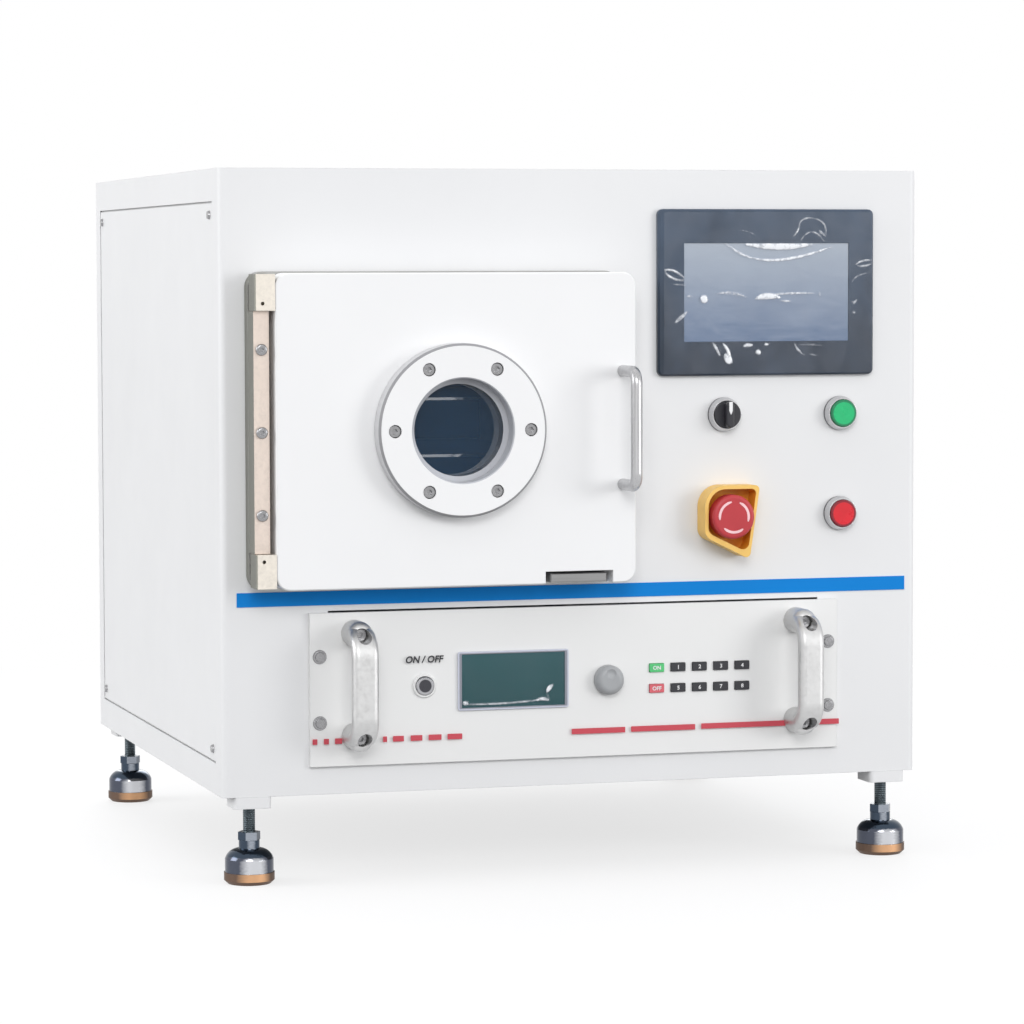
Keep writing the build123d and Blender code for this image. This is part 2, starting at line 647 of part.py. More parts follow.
with BuildPart() as panel_screws:
    for outside, places in SCREW_FACES:
        with BuildSketch(outside):
            with Locations(places):
                Circle(SCREW_HEAD_RADIUS)
        extrude(amount=SCREW_HEAD_HEIGHT, taper=SCREW_HEAD_TAPER)
        with BuildSketch(outside):
            with Locations(places):
                Circle(SCREW_SHANK_RADIUS)
        extrude(amount=-SCREW_LENGTH)
panel_screws.part.label = "panel_screws"
export_step(panel_screws.part, "parts/panel_screws.step")

# Stripe across the front face
with BuildPart() as front_stripe:
    stripe_width = CABINET_WIDTH - STRIPE_END_LEFT - STRIPE_END_RIGHT
    stripe_x = (STRIPE_END_LEFT - STRIPE_END_RIGHT) / 2
    with BuildSketch(facing(0)):
        with Locations((stripe_x, RACK_LOW_Z + RACK_HEIGHT + STRIPE_GAP + STRIPE_HEIGHT / 2)):
            Rectangle(stripe_width, STRIPE_HEIGHT)
    extrude(amount=STRIPE_THICKNESS)
front_stripe.part.label = "front_stripe"
export_step(front_stripe.part, "parts/front_stripe.step")

# Vacuum chamber: a box open to the front, with the pump port and the electrode feed in its rear wall
MATCH_PLACE = (DOOR_X, DOOR_Z + MATCH_RISE - MATCH_HEIGHT / 2)
FEED_PLACE = (DOOR_X, DOOR_Z + SHELF_PITCH)

with BuildPart() as chamber:
    with BuildSketch(facing(CHAMBER_BACK)):
        with Locations((DOOR_X, DOOR_Z)):
            RectangleRounded(CHAMBER_WIDTH, CHAMBER_HEIGHT, CAVITY_RADIUS)
    extrude(amount=CHAMBER_BACK)
    with BuildSketch(facing(CAVITY_DEPTH)):
        with Locations((DOOR_X, DOOR_Z)):
            RectangleRounded(CAVITY_WIDTH, CAVITY_HEIGHT, CAVITY_RADIUS)
    extrude(amount=CAVITY_DEPTH, mode=Mode.SUBTRACT)
    with BuildSketch(facing(CHAMBER_BACK)):
        with Locations(PORT_PLACE):
            Circle(PORT_BORE)
        with Locations(FEED_PLACE):
            Circle(FEED_RADIUS)
    extrude(amount=CHAMBER_WALL, mode=Mode.SUBTRACT)
chamber.part.label = "chamber"
export_step(chamber.part, "parts/chamber.step")

# Chamber flange on the front face, with the seal's groove round its opening
FLANGE_WIDTH = HINGE_MARGIN + DOOR_WIDTH - FLANGE_LEFT - FLANGE_RIGHT_INSET
FLANGE_HEIGHT = DOOR_HEIGHT + 2 * FLANGE_OVER_DOOR
FLANGE_X = LEFT_X + FLANGE_LEFT + FLANGE_WIDTH / 2
GROOVE_HALF = SEAL_RADIUS + GROOVE_CLEARANCE


def seal_outline(grow):
    width = CAVITY_WIDTH + 2 * SEAL_OFFSET + 2 * grow
    height = CAVITY_HEIGHT + 2 * SEAL_OFFSET + 2 * grow
    return width, height, CAVITY_RADIUS + grow


with BuildPart() as chamber_flange:
    with BuildSketch(facing(0)):
        with Locations((FLANGE_X, DOOR_Z)):
            RectangleRounded(FLANGE_WIDTH, FLANGE_HEIGHT, FLANGE_RADIUS)
        with Locations((DOOR_X, DOOR_Z)):
            RectangleRounded(CAVITY_WIDTH, CAVITY_HEIGHT, CAVITY_RADIUS, mode=Mode.SUBTRACT)
    extrude(amount=FLANGE_THICKNESS)
    with BuildSketch(facing(-FLANGE_THICKNESS)):
        with Locations((DOOR_X, DOOR_Z)):
            RectangleRounded(*seal_outline(GROOVE_HALF))
            RectangleRounded(*seal_outline(-GROOVE_HALF), mode=Mode.SUBTRACT)
    extrude(amount=-GROOVE_DEPTH, mode=Mode.SUBTRACT)
    with BuildSketch(facing(-FLANGE_THICKNESS)):
        with Locations(BAR_SCREW_PLACES):
            Circle(BAR_SCREW_SHANK_RADIUS)
    extrude(amount=-FLANGE_THICKNESS, mode=Mode.SUBTRACT)
chamber_flange.part.label = "chamber_flange"
export_step(chamber_flange.part, "parts/chamber_flange.step")

# Door seal in the flange's groove
with BuildPart() as door_seal:
    seal_front = FLANGE_THICKNESS + DOOR_STANDOFF - SEAL_TO_DOOR
    seal_depth = seal_front - FLANGE_THICKNESS + GROOVE_DEPTH
    with BuildSketch(facing(GROOVE_DEPTH - FLANGE_THICKNESS)):
        with Locations((DOOR_X, DOOR_Z)):
            RectangleRounded(*seal_outline(SEAL_RADIUS))
            RectangleRounded(*seal_outline(-SEAL_RADIUS), mode=Mode.SUBTRACT)
    extrude(amount=seal_depth)
    front_edges = door_seal.faces().sort_by(Axis.Y)[0].edges()
    fillet(front_edges, SEAL_CROWN)
door_seal.part.label = "door_seal"
export_step(door_seal.part, "parts/door_seal.step")

# Electrode shelves and the ceramic side supports that they slide into
SHELF_WIDTH = CAVITY_WIDTH - 2 * (SUPPORT_THICKNESS - SUPPORT_GROOVE) - 2 * SHELF_CLEARANCE
SHELF_LEVELS = [DOOR_Z + (step - (SHELF_COUNT - 1) / 2) * SHELF_PITCH for step in range(SHELF_COUNT)]
SUPPORT_HEIGHT = CAVITY_HEIGHT - 2 * SUPPORT_MARGIN
SHELF_Y = FRONT_Y + SHELF_SETBACK + SHELF_DEPTH / 2

with BuildPart() as electrode_shelves:
    for level in SHELF_LEVELS:
        with BuildSketch(Plane.XY.offset(level - SHELF_THICKNESS / 2)):
            with Locations((DOOR_X, SHELF_Y)):
                RectangleRounded(SHELF_WIDTH, SHELF_DEPTH, SHELF_RADIUS)
        extrude(amount=SHELF_THICKNESS)
electrode_shelves.part.label = "electrode_shelves"
export_step(electrode_shelves.part, "parts/electrode_shelves.step")

with BuildPart() as shelf_supports:
    for side in (-1, 1):
        strip_x = DOOR_X + side * (CAVITY_WIDTH - SUPPORT_THICKNESS) / 2
        groove_x = DOOR_X + side * (CAVITY_WIDTH / 2 - SUPPORT_THICKNESS + SUPPORT_GROOVE / 2)
        with BuildSketch(facing(SHELF_SETBACK + SHELF_DEPTH)):
            with Locations((strip_x, DOOR_Z)):
                Rectangle(SUPPORT_THICKNESS, SUPPORT_HEIGHT)
            with Locations([(groove_x, level) for level in SHELF_LEVELS]):
                Rectangle(SUPPORT_GROOVE, SHELF_THICKNESS + 2 * SHELF_CLEARANCE, mode=Mode.SUBTRACT)
        extrude(amount=SHELF_DEPTH)
shelf_supports.part.label = "shelf_supports"
export_step(shelf_supports.part, "parts/shelf_supports.step")

# Matching network behind the chamber, with its feed through the rear wall
with BuildPart() as matching_network:
    match_front = CHAMBER_BACK + MATCH_GAP
    with BuildSketch(facing(match_front + MATCH_DEPTH)):
        with Locations(MATCH_PLACE):
            RectangleRounded(MATCH_WIDTH, MATCH_HEIGHT, SHELF_RADIUS)
    extrude(amount=MATCH_DEPTH)
    with BuildSketch(facing(match_front)):
        with Locations(FEED_PLACE):
            Circle(FEED_RADIUS - CUT_CLEARANCE)
    extrude(amount=MATCH_GAP + CHAMBER_WALL)
    with BuildSketch(facing(CAVITY_DEPTH)):
        with Locations(FEED_PLACE):
            Circle(FEED_ROD_RADIUS)
    extrude(amount=CAVITY_DEPTH - SHELF_SETBACK - SHELF_DEPTH - SHELF_CLEARANCE)
matching_network.part.label = "matching_network"
export_step(matching_network.part, "parts/matching_network.step")

# Pump line: a tube from the chamber to the port on the rear, with a valve in it
VALVE_DEPTH_MIDDLE = CHAMBER_BACK + VALVE_GAP + VALVE_DEPTH / 2

with BuildPart() as vacuum_valve:
    with BuildSketch(facing(CHAMBER_BACK + VALVE_GAP + VALVE_DEPTH)):
        with Locations(PORT_PLACE):
            RectangleRounded(VALVE_WIDTH, VALVE_HEIGHT, SHELF_RADIUS)
            Circle(PORT_TUBE_RADIUS + SCREW_CLEARANCE, mode=Mode.SUBTRACT)
    extrude(amount=VALVE_DEPTH)
    with BuildSketch(Plane.XY.offset(PORT_PLACE[1] - VALVE_HEIGHT / 2)):
        with Locations((DOOR_X, FRONT_Y + VALVE_DEPTH_MIDDLE)):
            Circle(ACTUATOR_RADIUS)
    extrude(amount=-ACTUATOR_HEIGHT)
vacuum_valve.part.label = "vacuum_valve"
export_step(vacuum_valve.part, "parts/vacuum_valve.step")

with BuildPart() as vacuum_line:
    with BuildSketch(facing(CABINET_DEPTH + PORT_REACH)):
        with Locations(PORT_PLACE):
            Circle(PORT_FLANGE_RADIUS)
    extrude(amount=PORT_FLANGE_THICKNESS)
    chamfer(vacuum_line.faces().sort_by(Axis.Y)[0].edges(), PORT_FLANGE_CHAMFER)
    with BuildSketch(facing(CABINET_DEPTH + PORT_REACH)):
        with Locations(PORT_PLACE):
            Circle(PORT_TUBE_RADIUS)
    extrude(amount=CABINET_DEPTH + PORT_REACH - CHAMBER_BACK)
    with BuildSketch(facing(CABINET_DEPTH + PORT_REACH)):
        with Locations(PORT_PLACE):
            Circle(PORT_BORE)
    extrude(amount=CABINET_DEPTH + PORT_REACH - CHAMBER_BACK, mode=Mode.SUBTRACT)
vacuum_line.part.label = "vacuum_line"
export_step(vacuum_line.part, "parts/vacuum_line.step")

# Gas inlets: bulkhead fittings in the rear panel and their tubes
METER_BACK = CABINET_DEPTH - METER_GAP

with BuildPart() as gas_lines:
    with BuildSketch(facing(CABINET_DEPTH + GAS_REACH)):
        with Locations(GAS_PLACES):
            Circle(GAS_TUBE_RADIUS)
    extrude(amount=GAS_REACH + METER_GAP)
    with BuildSketch(facing(CABINET_DEPTH - SHEET + PANEL_THICKNESS + GAS_NUT_LENGTH)):
        with Locations(GAS_PLACES):
            RegularPolygon(GAS_NUT_RADIUS, HEX_SIDES)
    extrude(amount=GAS_NUT_LENGTH)
    with BuildSketch(facing(CABINET_DEPTH + GAS_REACH)):
        with Locations(GAS_PLACES):
            Circle(GAS_BORE)
    extrude(amount=GAS_REACH + METER_GAP, mode=Mode.SUBTRACT)
gas_lines.part.label = "gas_lines"
export_step(gas_lines.part, "parts/gas_lines.step")

with BuildPart() as flow_controllers:
    with BuildSketch(facing(METER_BACK)):
        with Locations(GAS_PLACES):
            Rectangle(METER_WIDTH, METER_HEIGHT)
    extrude(amount=METER_DEPTH)
flow_controllers.part.label = "flow_controllers"
export_step(flow_controllers.part, "parts/flow_controllers.step")

# Cooling fan: a square housing inside the rear panel, and its rotor
FAN_BACK = CABINET_DEPTH - SHEET
FAN_AXLE_LENGTH = FAN_DEPTH - FAN_PLATE - HUB_DEPTH

with BuildPart() as fan_housing:
    with BuildSketch(facing(FAN_BACK)):
        with Locations(FAN_PLACE):
            RectangleRounded(FAN_SIZE, FAN_SIZE, FAN_CORNER)
            Circle(FAN_BORE, mode=Mode.SUBTRACT)
            with GridLocations(FAN_HOLE_PITCH, FAN_HOLE_PITCH, 2, 2):
                Circle(FAN_HOLE_RADIUS, mode=Mode.SUBTRACT)
    extrude(amount=FAN_DEPTH)
    with BuildSketch(facing(FAN_BACK - FAN_DEPTH + FAN_PLATE)):
        with Locations(FAN_PLACE):
            Circle(HUB_RADIUS)
            Rectangle(2 * FAN_BORE + FAN_CORNER, FAN_STRUT_WIDTH)
            Rectangle(FAN_STRUT_WIDTH, 2 * FAN_BORE + FAN_CORNER)
            Circle(FAN_SHAFT_RADIUS + PIN_FIT, mode=Mode.SUBTRACT)
    extrude(amount=FAN_PLATE)
fan_housing.part.label = "fan_housing"
export_step(fan_housing.part, "parts/fan_housing.step")

with BuildPart() as fan_rotor:
    with BuildSketch(facing(FAN_BACK - FAN_DEPTH + FAN_PLATE + FAN_AXLE_LENGTH / 2 + HUB_DEPTH)):
        with Locations(FAN_PLACE):
            Circle(HUB_RADIUS)
    extrude(amount=HUB_DEPTH)
    with BuildSketch(facing(FAN_BACK - FAN_DEPTH + FAN_PLATE + FAN_AXLE_LENGTH)):
        with Locations(FAN_PLACE):
            Circle(FAN_SHAFT_RADIUS)
    extrude(amount=FAN_AXLE_LENGTH + FAN_PLATE)
    blade_y = FRONT_Y + FAN_BACK - FAN_DEPTH + FAN_PLATE + FAN_AXLE_LENGTH / 2 + HUB_DEPTH / 2
    for blade in range(BLADE_COUNT):
        outward = Vector(1, 0, 0).rotate(Axis.Y, blade * 360 / BLADE_COUNT)
        blade_plane = Plane(origin=(FAN_PLACE[0], blade_y, FAN_PLACE[1]), x_dir=(0, 1, 0), z_dir=outward)
        with BuildSketch(blade_plane.offset(HUB_RADIUS / 2)):
            Rectangle(BLADE_CHORD, BLADE_THICKNESS, rotation=BLADE_TILT)
        extrude(amount=FAN_BORE - BLADE_TIP_GAP - HUB_RADIUS / 2)
fan_rotor.part.label = "fan_rotor"
export_step(fan_rotor.part, "parts/fan_rotor.step")

# Mains inlet with its three blades, which end short of the mouth
with BuildPart() as mains_inlet:
    inlet_back = CABINET_DEPTH - SHEET + PANEL_THICKNESS
    with BuildSketch(facing(inlet_back + INLET_FLANGE)):
        with Locations(INLET_PLACE):
            RectangleRounded(INLET_WIDTH, INLET_HEIGHT, INLET_RECESS_CORNER)
    extrude(amount=INLET_FLANGE)
    with BuildSketch(facing(inlet_back)):
        with Locations(INLET_PLACE):
            Rectangle(INLET_BODY_WIDTH, INLET_BODY_HEIGHT)
    extrude(amount=INLET_BODY_DEPTH)
    with BuildSketch(facing(inlet_back + INLET_FLANGE)):
        with Locations(INLET_PLACE):
            RectangleRounded(INLET_RECESS_WIDTH, INLET_RECESS_HEIGHT, INLET_RECESS_CORNER)
    extrude(amount=INLET_PIN_SETBACK, mode=Mode.SUBTRACT)
    with BuildSketch(facing(inlet_back + INLET_FLANGE - INLET_PIN_SETBACK)):
        with Locations(INLET_PLACE):
            RectangleRounded(INLET_RECESS_WIDTH, INLET_RECESS_HEIGHT, INLET_RECESS_CORNER)
            with Locations((-INLET_PIN_PITCH, 0), (0, INLET_PIN_WIDTH), (INLET_PIN_PITCH, 0)):
                Rectangle(INLET_PIN_WIDTH, INLET_PIN_HEIGHT, mode=Mode.SUBTRACT)
    extrude(amount=INLET_RECESS_DEPTH - INLET_PIN_SETBACK, mode=Mode.SUBTRACT)
mains_inlet.part.label = "mains_inlet"
export_step(mains_inlet.part, "parts/mains_inlet.step")

# Hinge bar on the flange, bored at both ends for the pins, and its screws
BAR_FRONT = -(FLANGE_THICKNESS + HINGE_BAR_DEPTH)

with BuildPart() as hinge_bar:
    with BuildSketch(facing(-FLANGE_THICKNESS)):
        with Locations((HINGE_X, BAR_Z)):
            Rectangle(HINGE_BAR_WIDTH, BAR_HIGH_Z - BAR_LOW_Z)
        with Locations(BAR_SCREW_PLACES):
            Circle(BAR_SCREW_SHANK_RADIUS + SCREW_CLEARANCE, mode=Mode.SUBTRACT)
    extrude(amount=HINGE_BAR_DEPTH)
    for end_z, inward in ((BAR_LOW_Z, 1), (BAR_HIGH_Z, -1)):
        with BuildSketch(Plane.XY.offset(end_z)):
            with Locations((HINGE_X, FRONT_Y + HINGE_DEPTH)):
                Circle(PIN_RADIUS + PIN_FIT)
        extrude(amount=inward * (PIN_DEPTH + HINGE_GAP), mode=Mode.SUBTRACT)
hinge_bar.part.label = "hinge_bar"
export_step(hinge_bar.part, "parts/hinge_bar.step")

with BuildPart() as hinge_bar_screws:
    bar_screw_length = HINGE_BAR_DEPTH + FLANGE_THICKNESS
    with BuildSketch(facing(BAR_FRONT)):
        with Locations(BAR_SCREW_PLACES):
            Circle(BAR_SCREW_HEAD_RADIUS)
    extrude(amount=BAR_SCREW_HEAD_HEIGHT)
    fillet(hinge_bar_screws.faces().group_by(Axis.Y)[0].edges(), BAR_SCREW_CROWN)
    with BuildSketch(facing(BAR_FRONT)):
        with Locations(BAR_SCREW_PLACES):
            Circle(BAR_SCREW_SHANK_RADIUS)
    extrude(amount=-bar_screw_length)
    with BuildSketch(facing(BAR_FRONT - BAR_SCREW_HEAD_HEIGHT)):
        with Locations(BAR_SCREW_PLACES):
            RegularPolygon(BAR_SOCKET_RADIUS, HEX_SIDES)
    extrude(amount=-BAR_SOCKET_DEPTH, mode=Mode.SUBTRACT)
hinge_bar_screws.part.label = "hinge_bar_screws"
export_step(hinge_bar_screws.part, "parts/hinge_bar_screws.step")

# Hinge blocks on the door's left side, and the pins that they hold
BLOCK_SPANS = [
    (LOW_Z + DOOR_BOTTOM + HINGE_END_LOW, BAR_LOW_Z - HINGE_GAP, BAR_LOW_Z - HINGE_GAP - SET_SCREW_FROM_BAR),
    (BAR_HIGH_Z + HINGE_GAP, BAR_HIGH_Z + HINGE_BLOCK_HIGH, BAR_HIGH_Z + HINGE_GAP + SET_SCREW_FROM_BAR),
]
BLOCK_BACK_DEPTH = -(FLANGE_THICKNESS + HINGE_BLOCK_BACK)
BLOCK_LEFT_X = HINGE_X - HINGE_BAR_WIDTH / 2
DOOR_LEFT_X = LEFT_X + HINGE_MARGIN

with BuildPart() as hinge_blocks:
    block_middle = ((BLOCK_LEFT_X + DOOR_LEFT_X) / 2, FRONT_Y + (BLOCK_BACK_DEPTH - DOOR_FACE) / 2)
    for low, high, set_screw in BLOCK_SPANS:
        with BuildSketch(Plane.XY.offset(low)):
            with Locations(block_middle):
                Rectangle(DOOR_LEFT_X - BLOCK_LEFT_X, DOOR_FACE + BLOCK_BACK_DEPTH)
            with Locations((HINGE_X, FRONT_Y + HINGE_DEPTH)):
                Circle(PIN_RADIUS, mode=Mode.SUBTRACT)
        extrude(amount=high - low)
    left_edges = hinge_blocks.edges().filter_by(Axis.Z).group_by(Axis.X)[0]
    chamfer(left_edges.group_by(Axis.Y)[0], HINGE_BLOCK_CHAMFER)
    with BuildSketch(facing(-DOOR_FACE)):
        with Locations([(HINGE_X, set_screw) for low, high, set_screw in BLOCK_SPANS]):
            Circle(SET_SCREW_RADIUS)
    extrude(amount=-(DOOR_FACE + HINGE_DEPTH - PIN_RADIUS), mode=Mode.SUBTRACT)
hinge_blocks.part.label = "hinge_blocks"
export_step(hinge_blocks.part, "parts/hinge_blocks.step")

with BuildPart() as hinge_pins:
    for end_z, outward in ((BAR_LOW_Z, -1), (BAR_HIGH_Z, 1)):
        with BuildSketch(Plane.XY.offset(end_z - outward * PIN_DEPTH)):
            with Locations((HINGE_X, FRONT_Y + HINGE_DEPTH)):
                Circle(PIN_RADIUS)
        extrude(amount=outward * (PIN_DEPTH + PIN_EMBED))
hinge_pins.part.label = "hinge_pins"
export_step(hinge_pins.part, "parts/hinge_pins.step")

# Door: a thick plate with the window's seat and a notch for the catch
HANDLE_X = LEFT_X + HINGE_MARGIN + DOOR_WIDTH - HANDLE_FROM_RIGHT
NOTCH_X = LEFT_X + HINGE_MARGIN + DOOR_WIDTH - NOTCH_FROM_RIGHT
NOTCH_Z = DOOR_Z - DOOR_HEIGHT / 2 + NOTCH_HEIGHT / 2
DOOR_BACK = -(FLANGE_THICKNESS + DOOR_STANDOFF)
HANDLE_FEET = [(HANDLE_X, DOOR_Z - HANDLE_PITCH / 2), (HANDLE_X, DOOR_Z + HANDLE_PITCH / 2)]

with BuildPart() as door_plate:
    with BuildSketch(facing(DOOR_BACK)):
        with Locations((DOOR_X, DOOR_Z)):
            RectangleRounded(DOOR_WIDTH, DOOR_HEIGHT, DOOR_RADIUS)
    extrude(amount=DOOR_THICKNESS)
    chamfer(door_plate.faces().sort_by(Axis.Y)[0].edges(), DOOR_CHAMFER)
    with BuildSketch(facing(DOOR_BACK)):
        with Locations((DOOR_X, DOOR_Z)):
            Circle(SIGHT_RADIUS)
        with Locations((NOTCH_X, NOTCH_Z)):
            Rectangle(NOTCH_WIDTH, NOTCH_HEIGHT)
    extrude(amount=DOOR_THICKNESS, mode=Mode.SUBTRACT)
    with BuildSketch(facing(-DOOR_FACE)):
        with Locations((DOOR_X, DOOR_Z)):
            Circle(GLASS_RADIUS + GLASS_CLEARANCE)
    extrude(amount=-GLASS_THICKNESS, mode=Mode.SUBTRACT)
    with BuildSketch(facing(-DOOR_FACE)):
        with Locations((DOOR_X, DOOR_Z)):
            with PolarLocations(RING_SCREW_CIRCLE, RING_SCREWS):
                Circle(CAP_SHANK_RADIUS)
        with Locations(HANDLE_FEET):
            Circle(HANDLE_STUD_RADIUS)
    extrude(amount=-HANDLE_STUD_LENGTH, mode=Mode.SUBTRACT)
door_plate.part.label = "door_plate"
export_step(door_plate.part, "parts/door_plate.step")

# Catch on the flange, in the door's notch
with BuildPart() as door_catch:
    catch_z = DOOR_Z - DOOR_HEIGHT / 2 + CATCH_GAP + CATCH_HEIGHT / 2
    catch_reach = DOOR_FACE - FLANGE_THICKNESS - CATCH_SETBACK
    with BuildSketch(facing(-FLANGE_THICKNESS)):
        with Locations((NOTCH_X, catch_z)):
            Rectangle(CATCH_WIDTH, CATCH_HEIGHT)
    extrude(amount=catch_reach)
    chamfer(door_catch.faces().sort_by(Axis.Y)[0].edges(), CATCH_CHAMFER)
door_catch.part.label = "door_catch"
export_step(door_catch.part, "parts/door_catch.step")

# Window glass in the door's seat
with BuildPart() as window_glass:
    with BuildSketch(facing(GLASS_THICKNESS - DOOR_FACE)):
        with Locations((DOOR_X, DOOR_Z)):
            Circle(GLASS_RADIUS)
    extrude(amount=GLASS_THICKNESS)
window_glass.part.label = "window_glass"
export_step(window_glass.part, "parts/window_glass.step")

# Window ring: turned, stepped in its bore and counterbored for its screws
with BuildPart() as window_ring:
    with BuildSketch(facing(-DOOR_FACE)):
        with Locations((DOOR_X, DOOR_Z)):
            Circle(RING_RADIUS)
            Circle(RING_STEP_RADIUS, mode=Mode.SUBTRACT)
    extrude(amount=RING_HEIGHT)
    with BuildSketch(facing(-DOOR_FACE - RING_STEP_HEIGHT)):
        with Locations((DOOR_X, DOOR_Z)):
            Circle(RING_BORE)
    extrude(amount=RING_HEIGHT - RING_STEP_HEIGHT, mode=Mode.SUBTRACT)
    chamfer(window_ring.faces().sort_by(Axis.Y)[0].outer_wire().edges(), RING_CHAMFER)
    chamfer(window_ring.faces().sort_by(Axis.Y)[0].inner_wires().edges(), RING_BORE_CHAMFER)
    with BuildSketch(facing(-DOOR_FACE - RING_HEIGHT)):
        with Locations((DOOR_X, DOOR_Z)):
            with PolarLocations(RING_SCREW_CIRCLE, RING_SCREWS):
                Circle(COUNTERBORE_RADIUS)
    extrude(amount=-COUNTERBORE_DEPTH, mode=Mode.SUBTRACT)
    with BuildSketch(facing(-DOOR_FACE)):
        with Locations((DOOR_X, DOOR_Z)):
            with PolarLocations(RING_SCREW_CIRCLE, RING_SCREWS):
                Circle(CAP_SHANK_RADIUS + SCREW_CLEARANCE)
    extrude(amount=RING_HEIGHT - COUNTERBORE_DEPTH, mode=Mode.SUBTRACT)
window_ring.part.label = "window_ring"
export_step(window_ring.part, "parts/window_ring.step")

with BuildPart() as window_screws:
    with BuildSketch(facing(RING_SCREW_HEAD_DEPTH)):
        with Locations((DOOR_X, DOOR_Z)):
            with PolarLocations(RING_SCREW_CIRCLE, RING_SCREWS):
                Circle(CAP_HEAD_RADIUS)
    extrude(amount=CAP_HEAD_HEIGHT)
    with BuildSketch(facing(RING_SCREW_HEAD_DEPTH)):
        with Locations((DOOR_X, DOOR_Z)):
            with PolarLocations(RING_SCREW_CIRCLE, RING_SCREWS):
                Circle(CAP_SHANK_RADIUS)
    extrude(amount=-CAP_SHANK_LENGTH)
    with BuildSketch(facing(RING_SCREW_HEAD_DEPTH - CAP_HEAD_HEIGHT)):
        with Locations((DOOR_X, DOOR_Z)):
            with PolarLocations(RING_SCREW_CIRCLE, RING_SCREWS):
                RegularPolygon(CAP_SOCKET_RADIUS, HEX_SIDES)
    extrude(amount=-CAP_SOCKET_DEPTH, mode=Mode.SUBTRACT)
window_screws.part.label = "window_screws"
export_step(window_screws.part, "parts/window_screws.step")

# Door handle: a bent round bar with threaded ends
with BuildPart() as door_handle:
    grip_y = FRONT_Y - DOOR_FACE - HANDLE_REACH
    foot_y = FRONT_Y - DOOR_FACE
    low_z = DOOR_Z - HANDLE_PITCH / 2
    high_z = DOOR_Z + HANDLE_PITCH / 2
    with BuildLine(Plane.YZ.offset(HANDLE_X)) as handle_path:
        FilletPolyline(
            (foot_y, low_z), (grip_y, low_z), (grip_y, high_z), (foot_y, high_z), radius=HANDLE_BEND
        )
    with BuildSketch(facing(-DOOR_FACE)):
        with Locations((HANDLE_X, low_z)):
            Circle(HANDLE_RADIUS)
    sweep(path=handle_path.line)
    with BuildSketch(facing(-DOOR_FACE)):
        with Locations(HANDLE_FEET):
            Circle(HANDLE_STUD_RADIUS)
    extrude(amount=-HANDLE_STUD_LENGTH)
door_handle.part.label = "door_handle"
export_step(door_handle.part, "parts/door_handle.step")

# Touch screen: a bezel on the front face with its housing behind, and the screen in it
with BuildPart() as hmi_bezel:
    with BuildSketch(facing(0)):
        with Locations((HMI_X, HMI_Z)):
            RectangleRounded(HMI_WIDTH, HMI_HEIGHT, HMI_RADIUS)
    extrude(amount=HMI_BEZEL)
    chamfer(hmi_bezel.faces().sort_by(Axis.Y)[0].edges(), HMI_CHAMFER)
    with BuildSketch(facing(0)):
        with Locations((HMI_X, HMI_Z)):
            Rectangle(HMI_BODY_WIDTH, HMI_BODY_HEIGHT)
    extrude(amount=-HMI_BODY_DEPTH)
    with BuildSketch(facing(-HMI_BEZEL)):
        with Locations((HMI_X, HMI_Z)):
            Rectangle(SCREEN_WIDTH, SCREEN_HEIGHT)
    extrude(amount=-(SCREEN_RECESS + SCREEN_DEPTH), mode=Mode.SUBTRACT)
hmi_bezel.part.label = "hmi_bezel"
export_step(hmi_bezel.part, "parts/hmi_bezel.step")

with BuildPart() as hmi_screen:
    with BuildSketch(facing(SCREEN_RECESS + SCREEN_DEPTH - HMI_BEZEL)):
        with Locations((HMI_X, HMI_Z)):
            Rectangle(SCREEN_WIDTH - 2 * SCREEN_CLEARANCE, SCREEN_HEIGHT - 2 * SCREEN_CLEARANCE)
    extrude(amount=SCREEN_DEPTH)
hmi_screen.part.label = "hmi_screen"
export_step(hmi_screen.part, "parts/hmi_screen.step")

# Switch bodies: a bezel on the face, a barrel through it and a bore for the cap
with BuildPart() as switch_bodies:
    with BuildSketch(facing(0)):
        with Locations(SELECTOR_PLACE, GREEN_PLACE, RED_PLACE):
            Circle(SWITCH_BEZEL_RADIUS)
    extrude(amount=SWITCH_BASE_HEIGHT)
    with BuildSketch(facing(-SWITCH_BASE_HEIGHT)):
        with Locations(SELECTOR_PLACE, GREEN_PLACE, RED_PLACE):
            Circle(SWITCH_BEZEL_RADIUS)
    extrude(amount=SWITCH_BEZEL_HEIGHT - SWITCH_BASE_HEIGHT, taper=SWITCH_BEZEL_TAPER)
    with BuildSketch(facing(0)):
        with Locations(SELECTOR_PLACE, GREEN_PLACE, RED_PLACE, ESTOP_PLACE):
            Circle(SWITCH_BARREL_RADIUS)
    extrude(amount=-SWITCH_BODY_DEPTH)
    with BuildSketch(facing(-SWITCH_BEZEL_HEIGHT)):
        with Locations(SELECTOR_PLACE, GREEN_PLACE, RED_PLACE):
            Circle(CAP_RADIUS + CAP_CLEARANCE)
    extrude(amount=SWITCH_FLOOR - SWITCH_BEZEL_HEIGHT, mode=Mode.SUBTRACT)
    with BuildSketch(facing(-SWITCH_FLOOR)):
        with Locations(SELECTOR_PLACE, GREEN_PLACE, RED_PLACE):
            Circle(PLUNGER_RADIUS + PLUNGER_FIT)
        with Locations(ESTOP_PLACE):
            Circle(STEM_RADIUS + STEM_FIT)
    extrude(amount=-(SWITCH_FLOOR + SWITCH_BORE_DEPTH), mode=Mode.SUBTRACT)
switch_bodies.part.label = "switch_bodies"
export_step(switch_bodies.part, "parts/switch_bodies.step")


